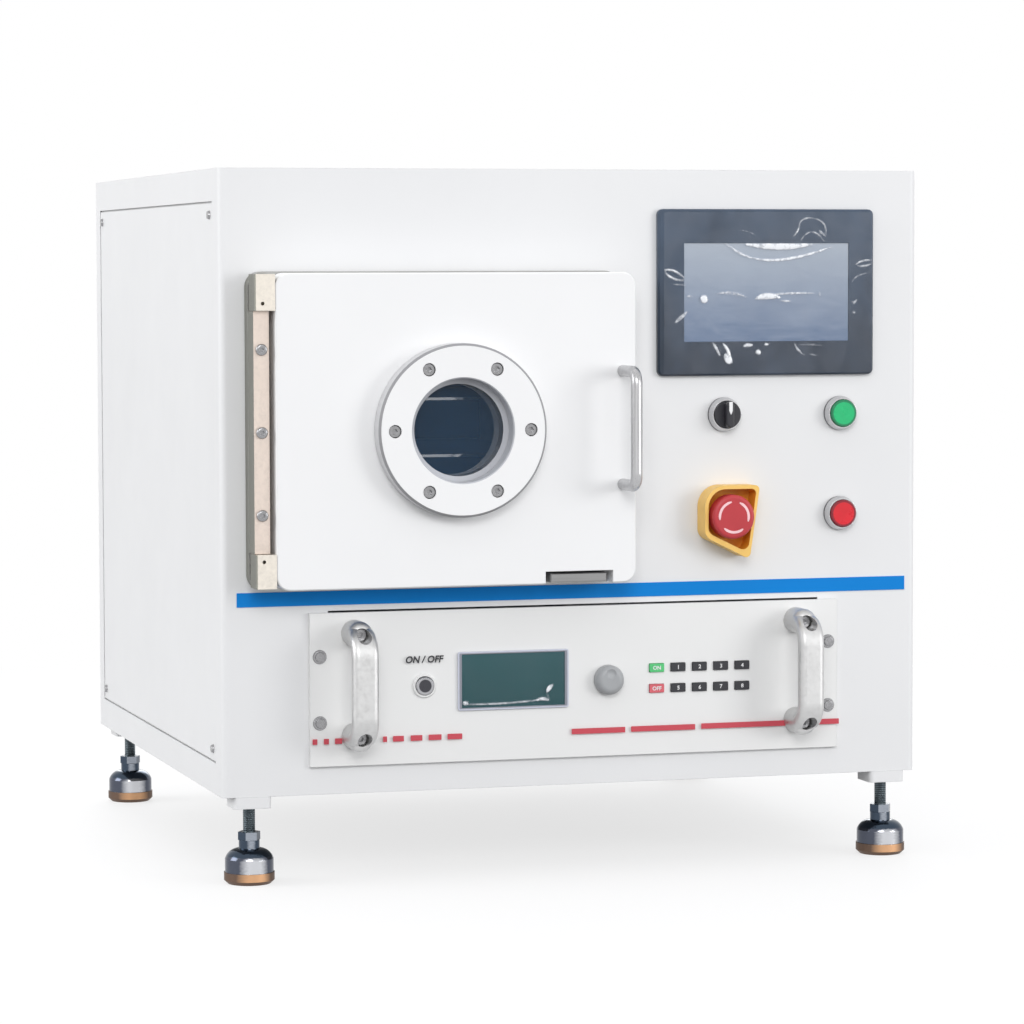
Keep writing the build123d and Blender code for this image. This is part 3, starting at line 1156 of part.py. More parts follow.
# Push button caps on their plungers
def button_cap(place):
    cap_back = -(SWITCH_FLOOR + CAP_BACK_GAP + CAP_TRAVEL)
    with BuildPart() as cap:
        with BuildSketch(facing(cap_back)):
            with Locations(place):
                Circle(CAP_RADIUS)
        extrude(amount=SWITCH_BEZEL_HEIGHT + CAP_PROUD + cap_back)
        chamfer(cap.faces().sort_by(Axis.Y)[0].edges(), CAP_CHAMFER)
        with BuildSketch(facing(cap_back)):
            with Locations(place):
                Circle(PLUNGER_RADIUS)
        extrude(amount=-(SWITCH_BORE_DEPTH + SWITCH_FLOOR))
    return cap


green_button = button_cap(GREEN_PLACE)
green_button.part.label = "green_button"
export_step(green_button.part, "parts/green_button.step")
red_button = button_cap(RED_PLACE)
red_button.part.label = "red_button"
export_step(red_button.part, "parts/red_button.step")

# Selector knob: a round skirt with a grip ridge
with BuildPart() as selector_knob:
    knob_back = -(SWITCH_FLOOR + CAP_BACK_GAP)
    with BuildSketch(facing(knob_back)):
        with Locations(SELECTOR_PLACE):
            Circle(CAP_RADIUS)
    extrude(amount=SWITCH_BEZEL_HEIGHT + KNOB_PROUD + knob_back)
    with BuildSketch(facing(-SWITCH_BEZEL_HEIGHT)):
        with Locations(SELECTOR_PLACE):
            SlotOverall(KNOB_RIDGE_LENGTH, KNOB_RIDGE_WIDTH, rotation=90)
    extrude(amount=KNOB_RIDGE_HEIGHT)
    fillet(selector_knob.faces().sort_by(Axis.Y)[0].edges(), KNOB_RIDGE_FILLET)
    with BuildSketch(facing(knob_back)):
        with Locations(SELECTOR_PLACE):
            Circle(PLUNGER_RADIUS)
    extrude(amount=-SWITCH_BORE_DEPTH)
selector_knob.part.label = "selector_knob"
export_step(selector_knob.part, "parts/selector_knob.step")

# Emergency stop: a stem that slides and a mushroom head that twists on it
HEAD_BACK = HEAD_FRONT - HEAD_LIFT
ESTOP_X, ESTOP_Z = ESTOP_PLACE
STEM_FRONT = HEAD_BACK + HEAD_LIFT / 2

with BuildPart() as estop_stem:
    with BuildSketch(facing(-STEM_FRONT)):
        with Locations(ESTOP_PLACE):
            Circle(STEM_RADIUS)
    extrude(amount=-(STEM_FRONT + SWITCH_BORE_DEPTH - STOP_TRAVEL - CAP_BACK_GAP))
estop_stem.part.label = "estop_stem"
export_step(estop_stem.part, "parts/estop_stem.step")

with BuildPart() as estop_head:
    with BuildSketch(facing(-HEAD_BACK + HEAD_RIM / 2)):
        with Locations(ESTOP_PLACE):
            Circle(HEAD_NECK_RADIUS)
    extrude(amount=HEAD_RIM)
    with BuildSketch(facing(-HEAD_BACK)):
        with Locations(ESTOP_PLACE):
            Circle(HEAD_RADIUS)
    extrude(amount=HEAD_LIFT)
    rounds = estop_head.edges().filter_by(GeomType.CIRCLE)
    rim_edges = rounds.filter_by(lambda edge: edge.radius > HEAD_NECK_RADIUS)
    fillet(rim_edges.group_by(Axis.Y)[0], HEAD_FILLET)
    with BuildSketch(facing(-HEAD_BACK + HEAD_RIM / 2)):
        with Locations(ESTOP_PLACE):
            Circle(STEM_RADIUS + PIN_FIT)
    extrude(amount=STEM_FRONT - HEAD_BACK + HEAD_RIM / 2 + CAP_BACK_GAP, mode=Mode.SUBTRACT)
estop_head.part.label = "estop_head"
export_step(estop_head.part, "parts/estop_head.step")


# Guard round the emergency stop: an open cup, thin beside the head and thick on its slanted lower side
def guard_corners(across, up):
    left = ESTOP_X - GUARD_LEFT + across
    top = ESTOP_Z + GUARD_TOP + up
    return [
        (left, top),
        (left, ESTOP_Z - GUARD_SLANT_DROP + up),
        (ESTOP_X + GUARD_TIP_X + across, ESTOP_Z - GUARD_TIP_DROP + up),
        (ESTOP_X + GUARD_RIGHT + across, top),
    ]


def round_guard(outline, upper_left, lower_left, tip):
    fillet(outline.vertices().group_by(Axis.X)[0].sort_by(Axis.Y)[0], lower_left)
    fillet(outline.vertices().group_by(Axis.X)[0].sort_by(Axis.Y)[-1], upper_left)
    fillet(outline.vertices().sort_by(Axis.Y)[0], tip)
    fillet(outline.vertices().sort_by(Axis.X)[-1], GUARD_CORNER)


with BuildPart() as estop_guard:
    with BuildSketch(facing(0)) as guard_outline:
        Polygon(*guard_corners(0, 0), align=None)
        round_guard(guard_outline, GUARD_ROUND, GUARD_LOWER_ROUND, GUARD_CORNER)
    extrude(amount=GUARD_HEIGHT)
    with BuildSketch(facing(-GUARD_FLOOR)) as guard_opening:
        Polygon(*guard_corners(GUARD_WALL, -GUARD_WALL), align=None)
        Polygon(*guard_corners(-GUARD_THIN_WALL, GUARD_SLANT_WALL), align=None, mode=Mode.INTERSECT)
        opening_round = GUARD_ROUND - GUARD_WALL
        opening_lower_round = GUARD_LOWER_ROUND - GUARD_WALL
        round_guard(guard_opening, opening_round, opening_lower_round, GUARD_OPENING_TIP)
    extrude(amount=GUARD_HEIGHT - GUARD_FLOOR, mode=Mode.SUBTRACT)
    with BuildSketch(facing(0)):
        with Locations(ESTOP_PLACE):
            Circle(STEM_RADIUS + CUT_CLEARANCE)
    extrude(amount=GUARD_FLOOR, mode=Mode.SUBTRACT)
estop_guard.part.label = "estop_guard"
export_step(estop_guard.part, "parts/estop_guard.step")

# Generator: its chassis and the rack panel with openings for what it carries
with BuildPart() as generator_chassis:
    with BuildSketch(facing(CHASSIS_DEPTH)):
        with Locations((0, RACK_Z)):
            Rectangle(CHASSIS_WIDTH, CHASSIS_HEIGHT)
    extrude(amount=CHASSIS_DEPTH)
    with BuildSketch(facing(CHASSIS_DEPTH - SHEET)):
        with Locations((0, RACK_Z)):
            Rectangle(CHASSIS_WIDTH - 2 * SHEET, CHASSIS_HEIGHT - 2 * SHEET)
    extrude(amount=CHASSIS_DEPTH - SHEET, mode=Mode.SUBTRACT)
generator_chassis.part.label = "generator_chassis"
export_step(generator_chassis.part, "parts/generator_chassis.step")

HANDLE_FOOT_PITCH = RACK_HANDLE_HEIGHT - RACK_HANDLE_WIDTH
HANDLE_SCREWS = [
    (side * RACK_HANDLE_PITCH / 2, RACK_HANDLE_Z + end * HANDLE_FOOT_PITCH / 2)
    for side in (-1, 1)
    for end in (-1, 1)
]

with BuildPart() as generator_panel:
    with BuildSketch(facing(0)):
        with Locations((0, RACK_Z)):
            Rectangle(RACK_WIDTH, RACK_HEIGHT)
        with Locations(RACK_SCREW_PLACES):
            SlotOverall(RACK_SLOT_LENGTH, RACK_SLOT_HEIGHT, mode=Mode.SUBTRACT)
        with Locations(KEY_PLACES):
            Rectangle(KEY_WIDTH + 2 * KEY_CLEARANCE, KEY_HEIGHT + 2 * KEY_CLEARANCE, mode=Mode.SUBTRACT)
        with Locations(HANDLE_SCREWS):
            Circle(CAP_SHANK_RADIUS + SCREW_CLEARANCE, mode=Mode.SUBTRACT)
        with Locations(DIAL_PLACE):
            Circle(DIAL_SHAFT_RADIUS + PIN_FIT, mode=Mode.SUBTRACT)
    extrude(amount=RACK_THICKNESS)
    with BuildSketch(facing(-RACK_THICKNESS)):
        with Locations(POWER_PLACE):
            Circle(POWER_RIM_RADIUS)
    extrude(amount=POWER_RIM_HEIGHT, taper=POWER_RIM_TAPER)
    with BuildSketch(facing(0)):
        with Locations(POWER_PLACE):
            Circle(POWER_CAP_RADIUS + CAP_CLEARANCE)
    extrude(amount=RACK_THICKNESS + POWER_RIM_HEIGHT, mode=Mode.SUBTRACT)
generator_panel.part.label = "generator_panel"
export_step(generator_panel.part, "parts/generator_panel.step")

# Screws with cup washers in the rack panel's slots, and cap screws in the rack handles' recesses
with BuildPart() as rack_screws:
    with BuildSketch(facing(-RACK_THICKNESS)):
        with Locations(RACK_SCREW_PLACES):
            Circle(CUP_WASHER_RADIUS)
    extrude(amount=CUP_WASHER_HEIGHT, taper=CUP_WASHER_TAPER)
    with BuildSketch(facing(-RACK_THICKNESS)):
        with Locations(RACK_SCREW_PLACES):
            Circle(RACK_SCREW_RADIUS)
    extrude(amount=RACK_SCREW_HEIGHT, taper=SCREW_HEAD_TAPER)
    with BuildSketch(facing(-RACK_THICKNESS)):
        with Locations(RACK_SCREW_PLACES):
            Circle(SCREW_SHANK_RADIUS)
    extrude(amount=-RACK_SCREW_LENGTH)
    with BuildSketch(facing(-RACK_THICKNESS - RECESS_FLOOR)):
        with Locations(HANDLE_SCREWS):
            Circle(CAP_HEAD_RADIUS)
    extrude(amount=CAP_HEAD_HEIGHT)
    with BuildSketch(facing(-RACK_THICKNESS - RECESS_FLOOR)):
        with Locations(HANDLE_SCREWS):
            Circle(CAP_SHANK_RADIUS)
    extrude(amount=-(RECESS_FLOOR + RACK_THICKNESS))
    with BuildSketch(facing(-RACK_THICKNESS - RECESS_FLOOR - CAP_HEAD_HEIGHT)):
        with Locations(HANDLE_SCREWS):
            RegularPolygon(CAP_SOCKET_RADIUS, HEX_SIDES)
    extrude(amount=-CAP_SOCKET_DEPTH, mode=Mode.SUBTRACT)
rack_screws.part.label = "rack_screws"
export_step(rack_screws.part, "parts/rack_screws.step")

# Rack handles: cast bows of a flat round section, with a boss and a screw recess at each foot
with BuildPart() as rack_handles:
    for side in (-1, 1):
        handle_x = side * RACK_HANDLE_PITCH / 2
        panel_y = FRONT_Y - RACK_THICKNESS
        crest_y = panel_y - RACK_HANDLE_REACH + RACK_HANDLE_GRIP / 2
        lower_z = RACK_HANDLE_Z - HANDLE_FOOT_PITCH / 2
        upper_z = RACK_HANDLE_Z + HANDLE_FOOT_PITCH / 2
        with BuildLine(Plane.YZ.offset(handle_x)) as bow:
            FilletPolyline(
                (panel_y, lower_z), (crest_y, lower_z), (crest_y, upper_z), (panel_y, upper_z),
                radius=RACK_HANDLE_BEND,
            )
        with BuildSketch(facing(-RACK_THICKNESS)):
            with Locations((handle_x, lower_z)):
                RectangleRounded(RACK_HANDLE_WIDTH, RACK_HANDLE_GRIP, RACK_HANDLE_EDGE)
        sweep(path=bow.line)
    with BuildSketch(facing(-RACK_THICKNESS)):
        with Locations(HANDLE_SCREWS):
            Circle(RACK_HANDLE_WIDTH / 2)
    bosses = extrude(amount=BOSS_REACH, mode=Mode.PRIVATE)
    boss_rims = bosses.edges().filter_by(GeomType.CIRCLE).group_by(Axis.Y)[0]
    add(bosses.fillet(BOSS_EDGE, boss_rims))
    with BuildSketch(facing(-RACK_THICKNESS - RECESS_FLOOR)):
        with Locations(HANDLE_SCREWS):
            Circle(RECESS_RADIUS)
    extrude(amount=RACK_HANDLE_REACH, mode=Mode.SUBTRACT)
    with BuildSketch(facing(-RACK_THICKNESS)):
        with Locations(HANDLE_SCREWS):
            Circle(CAP_SHANK_RADIUS + SCREW_CLEARANCE)
    extrude(amount=RECESS_FLOOR, mode=Mode.SUBTRACT)
rack_handles.part.label = "rack_handles"
export_step(rack_handles.part, "parts/rack_handles.step")

# Display window on the rack panel
with BuildPart() as lcd_window:
    lcd_middle = (RACK_LEFT_X + LCD_LEFT + LCD_WIDTH / 2, RACK_LOW_Z + LCD_LOW + LCD_HEIGHT / 2)
    with BuildSketch(facing(-RACK_THICKNESS)):
        with Locations(lcd_middle):
            RectangleRounded(LCD_WIDTH, LCD_HEIGHT, LCD_RADIUS)
    extrude(amount=LCD_THICKNESS)
    with BuildSketch(facing(-RACK_THICKNESS - LCD_THICKNESS)):
        with Locations(lcd_middle):
            Rectangle(LCD_GLASS_WIDTH, LCD_GLASS_HEIGHT)
    extrude(amount=-LCD_RECESS, mode=Mode.SUBTRACT)
lcd_window.part.label = "lcd_window"
export_step(lcd_window.part, "parts/lcd_window.step")

# Power button in its rim
with BuildPart() as power_button:
    with BuildSketch(facing(0)):
        with Locations(POWER_PLACE):
            Circle(POWER_CAP_RADIUS)
    extrude(amount=RACK_THICKNESS + POWER_PRESSED + POWER_TRAVEL)
    chamfer(power_button.faces().sort_by(Axis.Y)[0].edges(), CAP_CHAMFER)
power_button.part.label = "power_button"
export_step(power_button.part, "parts/power_button.step")

# Setting dial: a domed knob with a finger dimple, on its shaft
with BuildPart() as setting_dial:
    with BuildSketch(facing(-RACK_THICKNESS - DIAL_GAP)):
        with Locations(DIAL_PLACE):
            Circle(DIAL_RADIUS)
    extrude(amount=DIAL_HEIGHT - DIAL_GAP)
    fillet(setting_dial.faces().sort_by(Axis.Y)[0].edges(), DIAL_CROWN)
    dial_x, dial_z = DIAL_PLACE
    dimple_y = FRONT_Y - RACK_THICKNESS - DIAL_HEIGHT - DIMPLE_RADIUS + DIMPLE_DEPTH
    with Locations((dial_x, dimple_y, dial_z + DIMPLE_OFFSET)):
        Sphere(DIMPLE_RADIUS, mode=Mode.SUBTRACT)
    with BuildSketch(facing(-RACK_THICKNESS - DIAL_GAP)):
        with Locations(DIAL_PLACE):
            Circle(DIAL_SHAFT_RADIUS)
    extrude(amount=-DIAL_SHAFT_LENGTH)
setting_dial.part.label = "setting_dial"
export_step(setting_dial.part, "parts/setting_dial.step")


# Keys in two rows
def keypad_key(place):
    with BuildPart() as key:
        with BuildSketch(facing(KEY_DEPTH - RACK_THICKNESS)):
            with Locations(place):
                RectangleRounded(KEY_WIDTH, KEY_HEIGHT, KEY_RADIUS)
        extrude(amount=KEY_DEPTH + KEY_PROUD)
    return key


for number, key_place in enumerate(KEY_PLACES, start=1):
    keypad = keypad_key(key_place)
    keypad.part.label = f"key_{number}"
    export_step(keypad.part, f"parts/key_{number}.step")

# Blocks under the cabinet that the levelling feet screw into
with BuildPart() as foot_blocks:
    with BuildSketch(Plane.XY.offset(LOW_Z - BLOCK_HEIGHT)):
        with Locations(list(FOOT_PLACES.values())):
            RectangleRounded(BLOCK_SIDE, BLOCK_SIDE, BLOCK_RADIUS)
            Circle(STUD_RADIUS + THREAD_CLEARANCE, mode=Mode.SUBTRACT)
    extrude(amount=BLOCK_HEIGHT)
foot_blocks.part.label = "foot_blocks"
export_step(foot_blocks.part, "parts/foot_blocks.step")


# Levelling feet: a rubber base, a domed cup on a stud, and a lock nut
def levelling_foot(place):
    cup_low = BASE_HEIGHT
    dome_low = cup_low + CUP_HEIGHT
    collar_low = dome_low + DOME_HEIGHT
    nut_low = collar_low + COLLAR_HEIGHT
    stud_low = nut_low + NUT_HEIGHT
    stud_top = stud_low + STUD_EXPOSED + BLOCK_HEIGHT + STUD_HIDDEN
    across = Plane(origin=(place[0], place[1], 0), x_dir=(1, 0, 0), z_dir=(0, -1, 0))
    with BuildPart() as foot:
        with BuildSketch(across):
            with BuildLine():
                Polyline((0, cup_low), (CUP_RADIUS, cup_low), (CUP_RADIUS, dome_low))
                TangentArc((CUP_RADIUS, dome_low), (COLLAR_RADIUS, collar_low), tangent=DOME_LEAN)
                Polyline(
                    (COLLAR_RADIUS, collar_low),
                    (COLLAR_RADIUS, nut_low),
                    (STUD_RADIUS, nut_low),
                    (STUD_RADIUS, stud_top),
                    (0, stud_top),
                    (0, cup_low),
                )
            make_face()
        revolve(axis=Axis((place[0], place[1], 0), (0, 0, 1)))
        with BuildSketch(Plane.XY.offset(nut_low + SEAT_GAP)):
            with Locations(place):
                RegularPolygon(NUT_RADIUS, HEX_SIDES)
                Circle(STUD_RADIUS + THREAD_CLEARANCE, mode=Mode.SUBTRACT)
        extrude(amount=NUT_HEIGHT)
        with BuildSketch():
            with Locations(place):
                Circle(BASE_RADIUS)
        base = extrude(amount=BASE_HEIGHT - SEAT_GAP, mode=Mode.PRIVATE)
        low_rim = base.edges().filter_by(GeomType.CIRCLE).sort_by(Axis.Z)[0]
        add(base.chamfer(BASE_TAPER_HEIGHT, BASE_TAPER_INSET, [low_rim]))
    return foot


for corner, foot_place in FOOT_PLACES.items():
    levelling = levelling_foot(foot_place)
    levelling.part.label = f"foot_{corner}"
    export_step(levelling.part, f"parts/foot_{corner}.step")
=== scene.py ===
import bmesh
import bpy
import json
import math
from mathutils import Matrix, Vector, noise

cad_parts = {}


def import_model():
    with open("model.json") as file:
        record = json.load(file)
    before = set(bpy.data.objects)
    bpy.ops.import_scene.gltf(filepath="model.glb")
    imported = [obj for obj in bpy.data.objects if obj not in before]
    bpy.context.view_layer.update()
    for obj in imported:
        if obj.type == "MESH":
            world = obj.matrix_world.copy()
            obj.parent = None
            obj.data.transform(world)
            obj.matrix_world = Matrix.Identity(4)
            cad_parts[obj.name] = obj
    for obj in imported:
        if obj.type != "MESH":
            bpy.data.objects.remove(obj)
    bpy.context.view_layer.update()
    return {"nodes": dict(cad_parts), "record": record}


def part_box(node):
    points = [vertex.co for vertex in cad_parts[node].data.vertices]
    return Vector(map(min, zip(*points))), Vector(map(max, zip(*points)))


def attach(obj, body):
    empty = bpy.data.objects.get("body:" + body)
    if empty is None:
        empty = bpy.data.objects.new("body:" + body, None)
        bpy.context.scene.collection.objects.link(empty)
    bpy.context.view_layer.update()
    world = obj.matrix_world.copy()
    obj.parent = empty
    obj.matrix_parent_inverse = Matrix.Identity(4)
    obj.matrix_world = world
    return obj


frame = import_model()
nodes = frame["nodes"]

# The scene is in metres, and a value in millimetres is multiplied by this where it is used
MM = 0.001

# Solids that several pieces are placed by
CABINET_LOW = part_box("cabinet_shell")[0]
PANEL_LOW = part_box("generator_panel")[0]
SCREEN_LOW, SCREEN_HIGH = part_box("hmi_screen")
DISPLAY_LOW, DISPLAY_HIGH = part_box("lcd_window")
KEYS = [f"key_{number}" for number in range(1, 11)]
FEET = ["foot_front_left", "foot_front_right", "foot_rear_left", "foot_rear_right"]

# Colours that give the object its look, in linear light
CABINET_WHITE = (0.805, 0.807, 0.81)
DOOR_WHITE = (0.90, 0.90, 0.90)
PANEL_WHITE = (0.83, 0.83, 0.82)
STRIPE_BLUE = (0.008, 0.225, 0.66)
DASH_RED = (0.60, 0.085, 0.11)
INK_BLACK = (0.03, 0.03, 0.035)
FILM_HAZE = (0.60, 0.64, 0.72)
FILM_GLINT = (0.95, 0.97, 1.0)


def rgba(colour):
    return (*colour, 1.0)


def toned(colour, factor):
    """A colour made lighter or darker."""
    return tuple(min(1.0, channel * factor) for channel in colour)


def middle_of(node):
    """The middle of a node seen from the front, in X and Z."""
    low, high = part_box(node)
    return (low.x + high.x) / 2, (low.z + high.z) / 2


# Noise in the finishes, in waves to a metre: one number for all three axes, or one for each
CLOUDS = 5.0
BEZEL_CLOUDS = (16.0, 16.0, 11.0)
SMEARS = (14.0, 14.0, 60.0)
SMUDGES = 22.0
HAZE = 24.0
SCREEN_HAZE = (26.0, 26.0, 70.0)
STAINS = 30.0
MOULDED = 40.0
CAP_CLOUDS = 60.0
HANDLED = 70.0
RUBBED = 90.0
CREASE_RIPPLE = 170.0
THREAD_STAINS = 200.0
CAST = 260.0
CREASE_GRAIN = 330.0
EVEN = 420.0
SCRATCHES = (300.0, 300.0, 900.0)
ALONG_X = (12.0, 700.0, 700.0)
ALONG_Z = (700.0, 700.0, 12.0)
BEZEL_GRAIN = 1000.0
CAP_GRAIN = 1100.0

# Nodes that feel for edges and gaps: their samples, and the readings where one starts and ends to show
EDGE_SAMPLES = 4
EDGE_SEEN = (0.97, 0.75)
GAP_SAMPLES = 8
GAP_SEEN = (0.12, 0.62)

# Widths of what the finishes show: worn edges, gaps darkened with painted shade, and edges that catch the
# light
PAINT_EDGE = 1.2 * MM
METAL_EDGE = 0.7 * MM
MOULDED_EDGE = 0.6 * MM
SHADED_GAP = 5.0 * MM
PAINT_ROUNDING = 0.6 * MM
BARE_ROUNDING = 0.4 * MM

# Depths of the relief in the finishes
PEEL_DEPTH = 0.1 * MM
GRAIN_DEPTH = 0.08 * MM
SCRATCH_DEPTH = 0.05 * MM
FILM_DEPTH = 0.5 * MM


# Node graphs
class Graph:
    """A material's node tree with short calls for its usual nodes."""

    def __init__(self, name):
        self.material = bpy.data.materials.new(name)
        self.material.use_nodes = True
        self.tree = self.material.node_tree
        self.shader = self.tree.nodes["Principled BSDF"]
        self.place = self.node("ShaderNodeTexCoord").outputs["Object"]

    def node(self, kind, **values):
        made = self.tree.nodes.new(kind)
        for key, value in values.items():
            setattr(made, key, value)
        return made

    def link(self, source, target):
        self.tree.links.new(source, target)

    def noise(self, waves, detail=3.0, rough=0.55, distortion=0.0):
        mapping = self.node("ShaderNodeMapping")
        mapping.inputs["Scale"].default_value = waves if isinstance(waves, tuple) else (waves,) * 3
        self.link(self.place, mapping.inputs["Vector"])
        made = self.node("ShaderNodeTexNoise")
        made.inputs["Scale"].default_value = 1.0
        made.inputs["Detail"].default_value = detail
        made.inputs["Roughness"].default_value = rough
        made.inputs["Distortion"].default_value = distortion
        self.link(mapping.outputs["Vector"], made.inputs["Vector"])
        return made.outputs["Fac"]

    def span(self, source, low, high, start=0.3, end=0.7):
        """Goes from low to high as the source goes from start to end."""
        made = self.node("ShaderNodeMapRange")
        made.inputs["From Min"].default_value = start
        made.inputs["From Max"].default_value = end
        made.inputs["To Min"].default_value = low
        made.inputs["To Max"].default_value = high
        self.link(source, made.inputs["Value"])
        return made.outputs["Result"]

    def mix(self, factor, first, second):
        made = self.node("ShaderNodeMix", data_type="RGBA")
        self.link(factor, made.inputs["Factor"])
        for value, socket in ((first, made.inputs["A"]), (second, made.inputs["B"])):
            if isinstance(value, tuple):
                socket.default_value = rgba(value)
            else:
                self.link(value, socket)
        return made.outputs["Result"]

    def maths(self, operation, *sources, clamp=False):
        made = self.node("ShaderNodeMath", operation=operation, use_clamp=clamp)
        for source, socket in zip(sources, made.inputs):
            self.link(source, socket)
        return made.outputs["Value"]

    def split(self, source):
        made = self.node("ShaderNodeSeparateXYZ")
        self.link(source, made.inputs["Vector"])
        return made.outputs

    def along(self, axis, low, high):
        """From 0 to 1 between two places along an axis."""
        return self.span(self.split(self.place)[axis], 0.0, 1.0, low, high)

    def gaps(self, reach):
        """Near 1 deep in gaps and inner corners, 0 on open faces."""
        made = self.node("ShaderNodeAmbientOcclusion", samples=GAP_SAMPLES)
        made.inputs["Distance"].default_value = reach
        return self.span(made.outputs["AO"], 1.0, 0.0, *GAP_SEEN)

    def rounded(self, radius):
        made = self.node("ShaderNodeBevel", samples=EDGE_SAMPLES)
        made.inputs["Radius"].default_value = radius
        return made.outputs["Normal"]

    def edges(self, radius):
        """Near 1 along edges of about that radius, 0 on flat faces."""
        dot = self.node("ShaderNodeVectorMath", operation="DOT_PRODUCT")
        self.link(self.rounded(radius), dot.inputs[0])
        self.link(self.node("ShaderNodeNewGeometry").outputs["Normal"], dot.inputs[1])
        return self.span(dot.outputs["Value"], 0.0, 1.0, *EDGE_SEEN)

    def bump(self, height, strength, depth, radius=BARE_ROUNDING):
        """Relief from a height, on edges rounded by the radius."""
        made = self.node("ShaderNodeBump")
        made.inputs["Strength"].default_value = strength
        made.inputs["Distance"].default_value = depth
        self.link(height, made.inputs["Height"])
        if radius:
            self.link(self.rounded(radius), made.inputs["Normal"])
        self.link(made.outputs["Normal"], self.shader.inputs["Normal"])

    def colour(self, tone):
        self.link(tone, self.shader.inputs["Base Color"])

    def roughness(self, source, low, high):
        self.link(self.span(source, low, high), self.shader.inputs["Roughness"])

    def set(self, **values):
        for key, value in values.items():
            self.shader.inputs[key.replace("_", " ")].default_value = value


# Makers of the finishes: each takes a name, a colour, a mean roughness and what is special to it
def coated(
    name, colour, roughness, peel=620.0, height=0.12, gloss=0.0, worn=0.9, specular=0.4, thin=False
):
    """Paint or powder coat: orange peel, faint clouds, rubbed edges, and painted shade that darkens the
    gaps.
    """
    graph = Graph(name)
    clouds = graph.span(graph.noise(CLOUDS, 4.0), 0.0, 1.0)
    tone = graph.mix(clouds, toned(colour, 0.98), toned(colour, 1.01))
    if not thin:
        rubbed = graph.span(graph.noise(RUBBED), 0.35, 1.0, 0.4, 0.6)
        worn_edges = graph.maths("MULTIPLY", graph.edges(PAINT_EDGE), rubbed)
        tone = graph.mix(worn_edges, tone, toned(colour, worn))
        # Painted shade: the paint darkens where the ambient-occlusion node finds gaps and inner corners
        tone = graph.mix(graph.gaps(SHADED_GAP), tone, toned(colour, 0.42))
    graph.colour(tone)
    graph.roughness(graph.noise(SMUDGES, 5.0, 0.6), roughness - 0.06, roughness + 0.07)
    graph.bump(graph.noise(peel, 2.0), height, PEEL_DEPTH, 0.0 if thin else PAINT_ROUNDING)
    graph.set(Coat_Weight=gloss, Coat_Roughness=0.12, Specular_IOR_Level=specular)
    return graph.material


def metal(name, colour, roughness, grain, height=0.1, worn=1.12, spread=0.08):
    """Bare metal: grain along the axis that has few waves, stains and bright edges."""
    graph = Graph(name)
    streaks = graph.noise(grain, 3.0, 0.6)
    stains = graph.span(graph.noise(STAINS, 4.0, 0.6), 0.0, 1.0)
    stained = graph.maths("MULTIPLY", stains, graph.span(streaks, 0.1, 0.5))
    tone = graph.mix(graph.span(streaks, 0.0, 1.0), toned(colour, 0.9), toned(colour, 1.06))
    tone = graph.mix(stained, tone, toned(colour, 0.88))
    graph.colour(graph.mix(graph.edges(METAL_EDGE), tone, toned(colour, worn)))
    graph.roughness(streaks, roughness - spread, roughness + spread)
    graph.bump(streaks, height, PEEL_DEPTH)
    graph.set(Metallic=1.0)
    return graph.material


def plastic(name, colour, roughness, grain=900.0, height=0.1, worn=1.25):
    """Moulded plastic, rubber or ink: fine grain, handled edges."""
    graph = Graph(name)
    clouds = graph.span(graph.noise(MOULDED, 4.0), 0.0, 1.0)
    tone = graph.mix(clouds, toned(colour, 0.93), toned(colour, 1.05))
    graph.colour(graph.mix(graph.edges(MOULDED_EDGE), tone, toned(colour, worn)))
    graph.roughness(graph.noise(HANDLED, 5.0, 0.65), roughness - 0.07, roughness + 0.08)
    graph.bump(graph.noise(grain, 2.0), height, GRAIN_DEPTH)
    return graph.material


def capped(name, colour, rim, node, reach, metallic=0.0):
    """A glossy cap on a push button, with a ring of another colour round its face."""
    graph = Graph(name)
    axis_x, axis_z = middle_of(node)
    place = graph.split(graph.place)
    flat = graph.node("ShaderNodeCombineXYZ")
    graph.link(place["X"], flat.inputs["X"])
    graph.link(place["Z"], flat.inputs["Z"])
    away = graph.node("ShaderNodeVectorMath", operation="DISTANCE")
    away.inputs[1].default_value = (axis_x, 0.0, axis_z)
    graph.link(flat.outputs["Vector"], away.inputs[0])
    on_rim = graph.span(away.outputs["Value"], 0.0, 1.0, reach - 0.3 * MM, reach + 0.3 * MM)
    clouds = graph.span(graph.noise(CAP_CLOUDS, 4.0), 0.0, 1.0)
    graph.colour(graph.mix(on_rim, graph.mix(clouds, toned(colour, 0.9), toned(colour, 1.08)), rim))
    graph.roughness(graph.noise(HANDLED, 5.0, 0.65), 0.22, 0.36)
    graph.bump(graph.noise(CAP_GRAIN, 2.0), 0.04, GRAIN_DEPTH)
    graph.set(Coat_Weight=0.2, Coat_Roughness=0.06, Metallic=metallic)
    return graph.material


def chromed(name, dark, light, roughness, start, end):
    """Plated metal with a painted reflection: brighter on the faces towards the front and the rear."""
    graph = Graph(name)
    normal = graph.split(graph.node("ShaderNodeNewGeometry").outputs["Normal"])
    scratches = graph.noise(SCRATCHES, 3.0, 0.6)
    uneven = graph.span(scratches, -0.02, 0.02)
    facing = graph.maths("ADD", graph.maths("ABSOLUTE", normal["Y"]), uneven)
    # Painted reflection: the colour goes from dark to light as a face turns towards the front or the rear
    graph.colour(graph.mix(graph.span(facing, 0.0, 1.0, start, end), dark, light))
    graph.roughness(scratches, roughness - 0.04, roughness + 0.05)
    graph.bump(scratches, 0.03, SCRATCH_DEPTH)
    graph.set(Metallic=1.0)
    return graph.material


def see_through(name, colour, alpha, roughness):
    """Glass with faint smears."""
    graph = Graph(name)
    smears = graph.noise(SMEARS, 5.0, 0.6, 0.4)
    graph.colour(graph.mix(graph.span(smears, 0.0, 1.0), colour, toned(colour, 1.35)))
    graph.roughness(smears, roughness, roughness + 0.05)
    graph.set(Alpha=alpha, IOR=1.5)
    return graph.material


